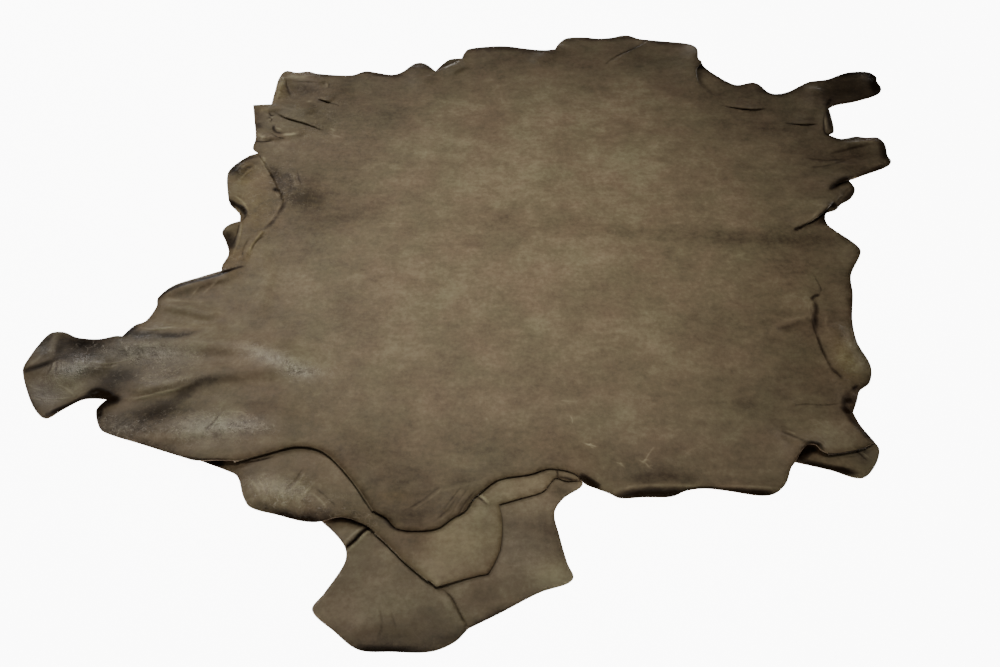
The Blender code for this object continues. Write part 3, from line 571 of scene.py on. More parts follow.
        (0, 1.5, 0.14, (236, -279), (248, -274)),
        (0, 1.4, 0.13, (228, -277), (240, -284), (246, -292), (253, -296)),
        (0, 1.4, 0.12, (240, -290), (251, -287)),
        (0, 1.4, 0.12, (119, -186), (123, -195), (122, -204)),
        (0, 1.8, 0.08, (103, -154), (131, -157)),
        (0, 5.5, -0.6, (128, -306), (137, -312), (147, -320), (160, -331)),
        (1.2, 1.8, -0.12, (-41, -337), (-52, -352), (-60, -366), (-66, -381)),
        (1, 1.7, -0.09, (-51, -331), (-64, -352), (-75, -374)),
        (0.8, 1.6, -0.08, (-63, -329), (-78, -352), (-89, -370)),
        (-0.8, 1.8, 0.1, (-58, -345), (-66, -360), (-72, -377)),
        (-0.5, 3, 0.04, (-102, -339), (-60, -326), (-18, -311)),
        (0.5, 4, -0.04, (-152, -346), (-110, -336), (-68, -322)),
        (0.5, 5, -0.04, (-172, -321), (-130, -313), (-78, -300)),
        (0, 2, -0.14, (412, 299), (417, 296)), (0, 2, -0.14, (434, 287), (440, 284)),
        (0, 1.6, -0.12, (470, 330), (474, 328)), (0, 1.6, -0.12, (520, 262), (525, 262)),
        (0, 1.4, 0.12, (-69, 322), (-64, 324)), (0, 1.5, 0.14, (230, 389), (235, 389)),
        (0, 1.4, 0.12, (-133, 233), (-128, 233)), (0, 1.4, 0.1, (-110, 237), (-105, 237)),
        (-1, 2, 0.12, (-519, 502), (-506, 480), (-494, 455), (-481, 432), (-471, 412)),
        (1.5, 2.6, -0.34, (-533, 157), (-516, 165), (-497, 173)),
        (1.5, 4, -0.3, (-536, 155), (-522, 161)), (0, 8, -0.1, (-673, -10), (-643, -13), (-615, -13)),
        (0, 6, -0.09, (-624, -1), (-595, -3), (-572, 6)),
        (0, 9, -0.12, (-787, -15), (-765, -24), (-749, -34)),
        (0, 7, -0.1, (-764, -20), (-740, -24), (-718, -29)),
        (-1, 2.4, 0.1, (-638, -155), (-594, -137), (-561, -129)),
        (-0.8, 2, 0.08, (-810, -150), (-785, -155), (-761, -155)),
        (1, 6, -0.35, (-692, -172), (-678, -163), (-655, -152)),
        (0, 1.8, -0.08, (-150, -372), (-120, -350), (-95, -325)),
        (0, 1.8, 0.07, (-140, -372), (-112, -350), (-86, -325)),
        (0, 1.6, -0.08, (-104, -392), (-84, -372), (-70, -350)),
        (0, 1.6, 0.07, (-98, -392), (-78, -374), (-64, -352)),
        (0, 9, -0.3, (862, 812), (876, 798), (874, 765), (866, 735)),
        (0, 6, -0.14, (800, 800), (836, 812), (862, 812)),
        (0, 8, -0.12, (165, 952), (210, 956), (275, 955), (320, 962), (400, 940), (455, 930)),
        (0, 8, -0.16, (484, 845), (500, 818), (533, 780), (555, 768)),
        (0, 7, -0.15, (610, 752), (622, 740), (640, 733), (668, 742)),
        (0, 8, -0.2, (832, 562), (835, 530), (832, 500), (836, 490)),
        (0, 6, -0.14, (822, 476), (795, 458), (765, 446)),
        (0, 7, -0.14, (664, 328), (658, 305), (664, 288))],
    "middle": [
        (-1, 1.8, 0.1, (-403, -317), (-392, -330), (-384, -346)),
        (-1, 1.8, 0.1, (-394, -311), (-384, -326), (-376, -343)),
        (-1, 1.8, 0.09, (-385, -309), (-376, -322), (-368, -337)),
        (-1, 2, 0.1, (-317, -299), (-326, -320), (-339, -339)),
        (1, 2, -0.1, (-323, -295), (-332, -316), (-346, -336)),
        (-1, 2, 0.1, (-299, -317), (-312, -340), (-319, -356)),
        (1.2, 2, -0.12, (-296, -331), (-280, -345), (-261, -363)),
        (-1, 2, 0.12, (-303, -341), (-290, -350), (-275, -367)),
        (0, 11, -0.15, (-402, -354), (-350, -373), (-300, -381), (-264, -377)),
        (0, 7, -0.55, (-450, -285), (-475, -279), (-515, -270)),
        (1, 1.8, -0.28, (-424, -283), (-400, -278), (-374, -271)),
        (1.5, 2, -0.26, (92, -295), (94, -304), (92, -311)),
        (1, 2.2, -0.26, (92, -310), (105, -311), (118, -316), (129, -323)),
        (-1, 2, 0.18, (-41, -352), (-33, -346), (-26, -349), (-19, -359)),
        (1.2, 2, -0.26, (-48, -353), (-38, -347), (-32, -350), (-21, -361)),
        (-0.5, 4, 0.14, (-99, -493), (-90, -497)),
        (0, 4.5, -0.4, (-196, -371), (-180, -384), (-164, -402), (-140, -408)),
        (0, 3, -0.25, (20, -308), (50, -304), (80, -294)),
        (0, 5, -0.35, (-355, -378), (-315, -388), (-285, -390))],
    "lowest": [
        (1.8, 2, -0.2, (-88, -506), (-72, -521), (-60, -545), (-49, -566)),
        (-0.8, 4, 0.08, (-93, -512), (-80, -528), (-72, -547)),
        (2.5, 2.8, -0.42, (-239, -438), (-228, -428), (-216, -412), (-205, -401)),
        (-1.5, 2.8, 0.18, (-235, -443), (-222, -430), (-210, -414), (-199, -407)),
        (-1, 2, 0.11, (-241, -430), (-226, -412), (-215, -403)),
        (0, 7, -0.55, (-274, -387), (-250, -382), (-225, -390), (-206, -399)),
        (1, 2.2, -0.08, (-178, -538), (-172, -560), (-176, -587)),
        (1, 2.2, -0.07, (-160, -543), (-152, -567)),
        (0, 5, -0.3, (-210, -599), (-165, -602), (-115, -602)),
        (0, 5, -0.16, (20, -536), (-20, -556), (-46, -568))],
    "tongue": [
        (0, 6, -0.6, (492, -279), (506, -283), (540, -293), (580, -303)),
        (0, 8, -0.7, (490, -276), (503, -263), (514, -255), (528, -256)),
        (1.2, 1.6, -0.18, (587, -255), (596, -266), (603, -277)),
        (-0.8, 1.6, 0.14, (594, -253), (602, -264), (609, -273))]}
EDGE_WAVE = 1.1         # height of the small waves along the edge
ALL_OVER = 0.35         # height of the slow unevenness all over


# %% [markdown]
# ## Relief
#
# The tables become heights over the flat sheet. Every ridge, crease and swell is a soft bell across its
# line and fades out at its ends. The lips of the high laps lean over, as real ones do, so that a dark
# line shows under them.

# %% Relief
def near(spots, crest):
    """Distance from the spots to a line, how far along it they lie, their side, and the way off it."""
    crest = np.asarray(crest, float)
    lengths = np.linalg.norm(np.diff(crest, axis=0), axis=1)
    before = np.concatenate([[0], np.cumsum(lengths)])
    best = np.full(len(spots), 1e9)
    along, side = np.zeros(len(spots)), np.zeros(len(spots))
    off = np.zeros((len(spots), 2))
    for i, span in enumerate(lengths):
        way = (crest[i + 1] - crest[i]) / span
        rel = spots - crest[i]
        t = np.clip(rel @ way, 0, span)
        gap = np.linalg.norm(rel - t[:, None] * way, axis=1)
        closer = gap < best - 1e-9
        best = np.where(closer, gap, best)
        along = np.where(closer, (before[i] + t) / before[-1], along)
        side = np.where(closer, np.sign(way[0] * rel[:, 1] - way[1] * rel[:, 0]), side)
        off = np.where(closer[:, None], (-way[1], way[0]), off)
    return best, along, side, off


def hump(reach):
    """A bell that comes down to nothing at about twice its half width."""
    return np.maximum(1.03 * np.exp(-reach ** 2) - 0.03, 0)


def lap_at(spots, lap):
    """Signed distance from a lap's line, its height there, and the way toward its raised side."""
    first, middle, last, _, raised, *crest = lap
    gap, along, side, off = near(spots, smooth_line(crest, 8, False)[0])
    back = 1 - along
    high = first * back * (1 - 2 * along) + 4 * middle * along * back + last * along * (2 * along - 1)
    ends = np.clip(8 * along + (first > 0), 0, 1) * np.clip(8 * back + (last > 0), 0, 1)
    return gap * side * raised, np.maximum(high, 0) * ends, off * raised


def crease_at(spots, crease, wide=1.0):
    """How strongly a crease works at each spot, from 0 to 1; it fades out at its ends."""
    _, half, _, *crest = crease
    share = np.zeros(len(spots))
    box = np.array(crest)
    close = np.all((spots > box.min(axis=0) - 6 * half) & (spots < box.max(axis=0) + 6 * half), axis=1)
    gap, along, _, _ = near(spots[close], smooth_line(crest, 4, False)[0])
    uneven = np.clip(0.9 + 0.5 * waves(spots[close, 0] / 22, spots[close, 1] / 22, 33.1), 0.4, 1.1)
    fade = np.clip(0.25 + 4 * np.minimum(along, 1 - along), 0, 1)
    share[close] = np.exp(-(gap / (half * wide)) ** 2) * fade * uneven
    return share


def turned(spots, x, y, turn):
    """Distances from a place along and across a turned direction."""
    c, s = math.cos(math.radians(turn)), math.sin(math.radians(turn))
    dx, dy = spots[:, 0] - x, spots[:, 1] - y
    return dx * c + dy * s, dy * c - dx * s


def waves(u, v, seed):
    """Smooth seeded unevenness between -1 and 1."""
    return np.array([noise.noise(Vector((a, b, seed))) for a, b in zip(u, v)])


def relief(spots, layer):
    """Height that the ridges, laps and swells of a layer add at each spot."""
    rise = np.zeros(len(spots))
    for height, half, *crest in RIDGES.get(layer, ()):
        gap, along, _, _ = near(spots, smooth_line(crest, 8, False)[0])
        rise += height * hump(gap / half) * np.clip(6 * np.minimum(along, 1 - along) + 0.15, 0, 1)
    for lap in LAPS.get(layer, ()):
        signed, high, _ = lap_at(spots, lap)
        face = np.clip((signed + SLACK) / (2 * SLACK), 0, 1)
        rise += high * face * hump(np.maximum(signed, 0) / lap[3])
    for x, y, long, wide, turn, height in SWELLS.get(layer, ()):
        u, v = turned(spots, x, y, turn)
        rise += height * hump(np.hypot(u / long, v / wide))
    return rise


def fine_relief(spots, layer, edge_gap):
    """The puckers, the waves along the edge and the slow unevenness, which the CAD solid doesn't need."""
    rise = np.zeros(len(spots))
    all_puckers = [(name, *row) for name, rows in PUCKERS.items() for row in rows]
    for seed, (name, x, y, long, wide, turn, height, length) in enumerate(all_puckers):
        if name == layer:
            u, v = turned(spots, x, y, turn)
            patch = hump(np.hypot(u / long, v / wide))
            here = patch > 0
            ripple = waves(u[here] / (2.6 * length), v[here] / length, seed * 3.7)
            rise[here] += height * patch[here] * (0.6 + ripple)
    for crease in CREASES.get(layer, ()):
        rise += crease[0] * (0.9 * crease_at(spots, crease, 2.4) - crease_at(spots, crease))
    edge = np.exp(-(edge_gap / 22) ** 2)
    here = edge > 0.01
    ripple = waves(spots[here, 0] / 30, spots[here, 1] / 30, 91.3)
    rise[here] += EDGE_WAVE * edge[here] * np.maximum(0.5 + 1.6 * ripple, 0)
    rise += ALL_OVER * (1 + waves(spots[:, 0] / 90, spots[:, 1] / 60, 55.1))
    return rise


def lip_lean(spots, layer):
    """How far the lips of the laps lean over their lower side."""
    move = np.zeros((len(spots), 2))
    for lap in LAPS.get(layer, ()):
        signed, high, toward = lap_at(spots, lap)
        share = np.clip((signed + SLACK) / (2 * SLACK), 0, 1)
        share *= np.exp(-(np.maximum(signed - SLACK, 0) / LIP) ** 2)
        share *= np.clip((high - LOW_LAP) / (HIGH_LAP - LOW_LAP), 0, 1)
        move -= LEAN * share[:, None] * toward
    return move


# %% [markdown]
# ## Laying one layer over another
#
# The leather is soft but not limp: over an edge it comes down in an even curve and touches the floor
# a hand's breadth away. A grid of heights works that out. Each spot takes the mean of its neighbours,
# less a little sag, but never goes below what supports it.

# %% Laying
GRID_LEFT, GRID_RIGHT, GRID_FRONT, GRID_BACK = -960, 960, -700, 1060


def inside(spots, outline):
    """Which of the spots lie inside a closed outline."""
    found = np.zeros(len(spots), bool)
    x, y = spots[:, 0], spots[:, 1]
    for (x0, y0), (x1, y1) in zip(outline, np.roll(outline, -1, axis=0)):
        if y0 != y1:
            crosses = (y0 > y) != (y1 > y)
            found ^= crosses & (x < (x1 - x0) * (y - y0) / (y1 - y0) + x0)
    return found


class Ground:
    """Heights on a square grid, for laying one layer over another."""
    xs = np.arange(GRID_LEFT, GRID_RIGHT, CELL)
    ys = np.arange(GRID_FRONT, GRID_BACK, CELL)
    spots = np.stack(np.meshgrid(xs, ys), axis=-1).reshape(-1, 2)

    def __init__(self, heights):
        self.heights = heights.reshape(len(self.ys), len(self.xs))

    def at(self, spots):
        gx = (spots[:, 0] - GRID_LEFT) / CELL
        gy = (spots[:, 1] - GRID_FRONT) / CELL
        i, j = gx.astype(int), gy.astype(int)
        fx, fy = gx - i, gy - j
        h = self.heights
        return ((h[j, i] * (1 - fx) + h[j, i + 1] * fx) * (1 - fy)
                + (h[j + 1, i] * (1 - fx) + h[j + 1, i + 1] * fx) * fy)


def neighbours(heights):
    """The mean of the four spots beside each one."""
    across = np.roll(heights, 1, 0) + np.roll(heights, -1, 0)
    return (across + np.roll(heights, 1, 1) + np.roll(heights, -1, 1)) / 4


def laid_over(support):
    """A soft sheet on the support: it bridges hollows a little and comes down in an even curve."""
    support = support.reshape(len(Ground.ys), len(Ground.xs))
    for _ in range(2):
        beside = [np.roll(support, way, axis) for axis in (0, 1) for way in (-1, 1)]
        support = np.max([support] + beside, axis=0)
    sheet = support.copy()
    for _ in range(RELAX_ROUNDS):
        sheet = np.maximum(support, neighbours(sheet) - SAG)
    for _ in range(3):
        sheet = np.where(sheet > 1e-6, (sheet + neighbours(sheet)) / 2, sheet)
    return sheet


def support_from(*parts):
    """What a layer has to clear: at each outline under it, that layer's height and so many layers more."""
    support = np.zeros(len(Ground.spots))
    for outline, heights, layers in parts:
        higher = np.maximum(support, heights + layers * LAYER)
        support = np.where(inside(Ground.spots, outline), higher, support)
    return support


# %% [markdown]
# ## Points in a layer
#
# The leather needs points close together where it bends and wide apart where it lies open. Rows of
# points run beside every lap and crease. Between them, squares are halved until they suit the distance
# to the nearest outline or crease.

# %% Points in a layer
COARSE = 88.0           # side of the first squares
CLOSEST = 1.3           # no two points lie closer than this


def tree_of(spots):
    """A quick way to find the nearest of the spots."""
    tree = kdtree.KDTree(len(spots))
    for i, spot in enumerate(spots):
        tree.insert((spot[0], spot[1], 0), i)
    tree.balance()
    return tree


def gaps_to(line, spots):
    """Distance from each spot to the nearest point of a line."""
    tree = tree_of(line)
    return np.array([tree.find((x, y, 0))[2] for x, y in spots])


def spread_points(outline, layer, beside):
    """Points inside an outline: close beside laps and narrow ridges, and an open spread between."""
    rows = []
    for _, _, _, _, _, *crest in LAPS.get(layer, ()):
        line = smooth_line(crest, FINE_STEP, False)[0]
        for offset in (-SLACK - 4, -SLACK, 0, SLACK, SLACK + 4):
            rows.append(set_back(line, offset)[1:-1])
    for _, half, _, *crest in CREASES.get(layer, ()):
        line = smooth_line(crest, max(FINE_STEP, half), False)[0]
        for share in (0, -0.75, 0.75, -1.5, 1.5):
            rows.append(set_back(line, share * half))
    rows += beside
    creases = list(rows)
    for _, half, *crest in RIDGES.get(layer, ()):
        if half < 16:
            creases.append(smooth_line(crest, 0.6 * half, False)[0])
    kept = list(outline)
    tree = tree_of(kept)
    for row in rows:
        row = row[inside(row, outline)]
        row = [spot for spot in row if tree.find((spot[0], spot[1], 0))[2] > CLOSEST]
        if row:
            kept += row
            tree = tree_of(kept)
    crease_tree = tree_of(np.concatenate(creases)) if creases else None
    (left, near_end), (right, far_end) = outline.min(axis=0), outline.max(axis=0)
    cells = [(x, y, COARSE) for x in np.arange(left, right, COARSE)
             for y in np.arange(near_end, far_end, COARSE)]
    found = []
    while cells:
        x, y, size = cells.pop()
        middle = (x + size / 2, y + size / 2, 0)
        gap = tree.find(middle)[2]
        wanted = EDGE_STEP + GROWTH * max(gap - size / 2, 0)
        if crease_tree:
            wanted = min(wanted, FINE_STEP + GROWTH * max(crease_tree.find(middle)[2] - size / 2, 0))
        if size > min(wanted, OPEN_STEP) * 1.25:
            half = size / 2
            cells += [(x, y, half), (x + half, y, half), (x, y + half, half), (x + half, y + half, half)]
        elif gap > 0.55 * size:
            shake = (math.sin(7 * x + y), math.cos(5 * y + x))
            found.append((middle[0] + size * 0.1 * shake[0], middle[1] + size * 0.1 * shake[1]))
    found = np.array(found).reshape(-1, 2)
    return np.concatenate([np.array(kept[len(outline):]).reshape(-1, 2), found[inside(found, outline)]])


# %% [markdown]
# ## The sheet
#
# Each layer is filled with triangles. The folds are strips that turn round at the front crease, go back,
# and turn again. At the end the sheet gets its thickness, half to each side, with a slightly rounded
# cut edge. A raised spot is shifted a hair toward the photographer, because the tables were measured as
# if all of it lay on the floor.

# %% Sheet
class Sheet:
    """The middle surface of the leather: points with heights, and faces between them."""

    def __init__(self):
        self.points = []
        self.flat = []
        self.layers = []
        self.faces = []

    def add_layer(self, outline, layer, ground, covers=()):
        """Triangles inside the outline, at the height of the ground plus the layer's relief."""
        closed = [np.concatenate([cover, cover[:1]]) for cover in covers]
        beside = [set_back(line, -gap) for line in closed for gap in (0.3, 2.5, 5, 9)]
        extra = spread_points(outline, layer, beside)
        flat = np.concatenate([outline, extra])
        edge = list(range(len(outline)))
        found = delaunay_2d_cdt([Vector(p) for p in flat], [], [edge[::-1]], 1, 1e-4)
        assert len(found[0]) == len(flat), (layer, len(found[0]), len(flat))
        start = len(self.points)
        source = [ids[0] for ids in found[3]]
        rise = relief(flat, layer) + fine_relief(flat, layer, gaps_to(outline, flat))
        heights = THICK / 2 + ground.at(flat) + np.maximum(rise, 0)
        placed = flat + lip_lean(flat, layer)
        self.points += [(*p, h) for p, h in zip(placed, heights)]
        self.flat += [tuple(p) for p in flat]
        self.layers += [layer] * len(flat)
        self.faces += [[start + source[i] for i in face] for face in found[2]]
        print(layer, "layer:", len(flat), "points")
        return [start + i for i in edge]

    def add_fold(self, upper, lower, turns=8, flats=5):
        """Join two rows of points: round at the upper row, back under it, and round to the lower row."""
        rows = [upper]
        high_row = np.array([self.points[i] for i in upper])
        low_row = np.array([self.points[i] for i in lower])
        reach = low_row[:, :2] - high_row[:, :2]
        reach /= np.linalg.norm(reach, axis=1)[:, None]
        radius = (high_row[:, 2] - low_row[:, 2]) / 4
        angles = [math.pi * k / turns for k in range(turns + 1)]
        path = [(0.0, -math.sin(a), 1 - math.cos(a)) for a in angles[1:]]
        path += [(k / flats, 0.0, 2.0) for k in range(1, flats)]
        path += [(1.0, math.sin(a), 3 - math.cos(a)) for a in angles[:-1]]
        for share, out, down in path:
            base = high_row * (1 - share) + low_row * share
            flat = base[:, :2] + reach * (radius * out)[:, None]
            start = len(self.points)
            self.points += [(*p, z) for p, z in zip(flat, high_row[:, 2] - radius * down)]
            self.flat += [tuple(p) for p in flat]
            self.layers += ["fold"] * len(flat)
            rows.append(list(range(start, start + len(flat))))
        rows.append(lower)
        for first, second in zip(rows[:-1], rows[1:]):
            for i in range(len(first) - 1):
                self.faces.append([first[i], first[i + 1], second[i + 1]])
                self.faces.append([first[i], second[i + 1], second[i]])

    def solid(self, tones):
        """The leather at its full thickness, with the tones of each point, and of its side or cut edge."""
        middle = bmesh.new()
        places = np.array(self.points)
        eye_at = np.array([0, -1000 * EYE_HEIGHT / math.tan(LOOK_DOWN)])
        places[:, :2] += (eye_at - places[:, :2]) * places[:, 2:] / (1000 * EYE_HEIGHT)
        verts = [middle.verts.new(Vector(p) / 1000) for p in places]
        for face in self.faces:
            middle.faces.new([verts[i] for i in face])
        bmesh.ops.recalc_face_normals(middle, faces=middle.faces[:])
        middle.normal_update()
        middle.verts.ensure_lookup_table()
        middle.faces.ensure_lookup_table()
        if middle.faces[0].normal.z < 0:
            bmesh.ops.reverse_faces(middle, faces=middle.faces[:])
            middle.normal_update()
        half = THICK / 2000
        body = bmesh.new()
        grain = body.verts.layers.float_color.new("skin")
        side = body.verts.layers.float.new("flesh")

        def point(place, i, flesh):
            vert = body.verts.new(place)
            vert[grain] = tones[i]
            vert[side] = flesh
            return vert

        top = [point(v.co + v.normal * half, v.index, 0.0) for v in middle.verts]
        bottom = [point(v.co - v.normal * half, v.index, 1.0) for v in middle.verts]
        for face in middle.faces:
            ids = [v.index for v in face.verts]
            body.faces.new([top[i] for i in ids])
            body.faces.new([bottom[i] for i in reversed(ids)])
        rim = {}
        for edge in middle.edges:
            if edge.is_boundary:
                face = edge.link_faces[0]
                away = (edge.verts[1].co - edge.verts[0].co).cross(face.normal).normalized()
                if away.dot((edge.verts[0].co + edge.verts[1].co) / 2 - face.calc_center_median()) < 0:
                    away = -away
                for v in edge.verts:
                    rim.setdefault(v.index, []).append(away)
        outer = {i: point(middle.verts[i].co + (sum(ways, Vector()) / len(ways)) * half * 0.5, i, 0.6)
                 for i, ways in rim.items()}
        for edge in middle.edges:
            if edge.is_boundary:
                loop = edge.link_loops[0]
                a, b = loop.link_loop_next.vert.index, loop.vert.index
                body.faces.new([top[a], top[b], outer[b], outer[a]])
                body.faces.new([outer[a], outer[b], bottom[b], bottom[a]])
        middle.free()
        for face in body.faces:
            face.smooth = True
        return body


# %% [markdown]
# ## Making the layers and joining them
#
# From the floor up: the lowest layer, the tongue at the right leg, the layer under the front edge, and
# the main layer over them all.

# %% Layers
main, runs = main_outline(EDGE_STEP)
front = main[runs["front fold"]]
front_back = set_back(front, FRONT_DEPTH)
middle_line, (_, _, fold, _) = under_outline(
    front_back, [MIDDLE_HIDDEN, MIDDLE_RIGHT, MIDDLE_FOLD, MIDDLE_LEFT], EDGE_STEP)
second = middle_line[fold]
second_back = set_back(second, MIDDLE_DEPTH)
lowest_line, _ = under_outline(second_back, [LOWEST_HIDDEN, LOWEST_RIGHT, LOWEST_LEFT], EDGE_STEP)
leg = main[runs["leg fold"]]
leg_back = set_back(leg, LEG_DEPTH)
tongue_line, _ = under_outline(leg_back, [TONGUE], EDGE_STEP)


def band(crease, back):
    """The outline of the hidden strip between two creases."""
    return np.concatenate([crease, back[::-1]])


level = np.zeros(len(Ground.spots))
lowest_rise = relief(Ground.spots, "lowest")
middle_ground = Ground(laid_over(support_from(
    (lowest_line, lowest_rise, 1), (band(second, second_back), lowest_rise, 2))))
middle_rise = middle_ground.heights.ravel() + relief(Ground.spots, "middle")
main_ground = Ground(laid_over(support_from(
    (lowest_line, lowest_rise, 1), (middle_line, middle_rise, 1), (band(front, front_back), middle_rise, 2),
    (tongue_line, level, 1), (band(leg, leg_back), level, 2))))

sheet = Sheet()
main_edge = sheet.add_layer(main, "main", main_ground)
middle_edge = sheet.add_layer(middle_line, "middle", middle_ground, [main])
lowest_edge = sheet.add_layer(lowest_line, "lowest", Ground(level), [main, middle_line])
tongue_edge = sheet.add_layer(tongue_line, "tongue", Ground(level), [main])
for upper, ids, lower in ((main_edge, runs["front fold"], middle_edge), (middle_edge, fold, lowest_edge),
                          (main_edge, runs["leg fold"], tongue_edge)):
    sheet.add_fold([upper[i] for i in ids], [lower[i] for i in reversed(range(len(ids)))])
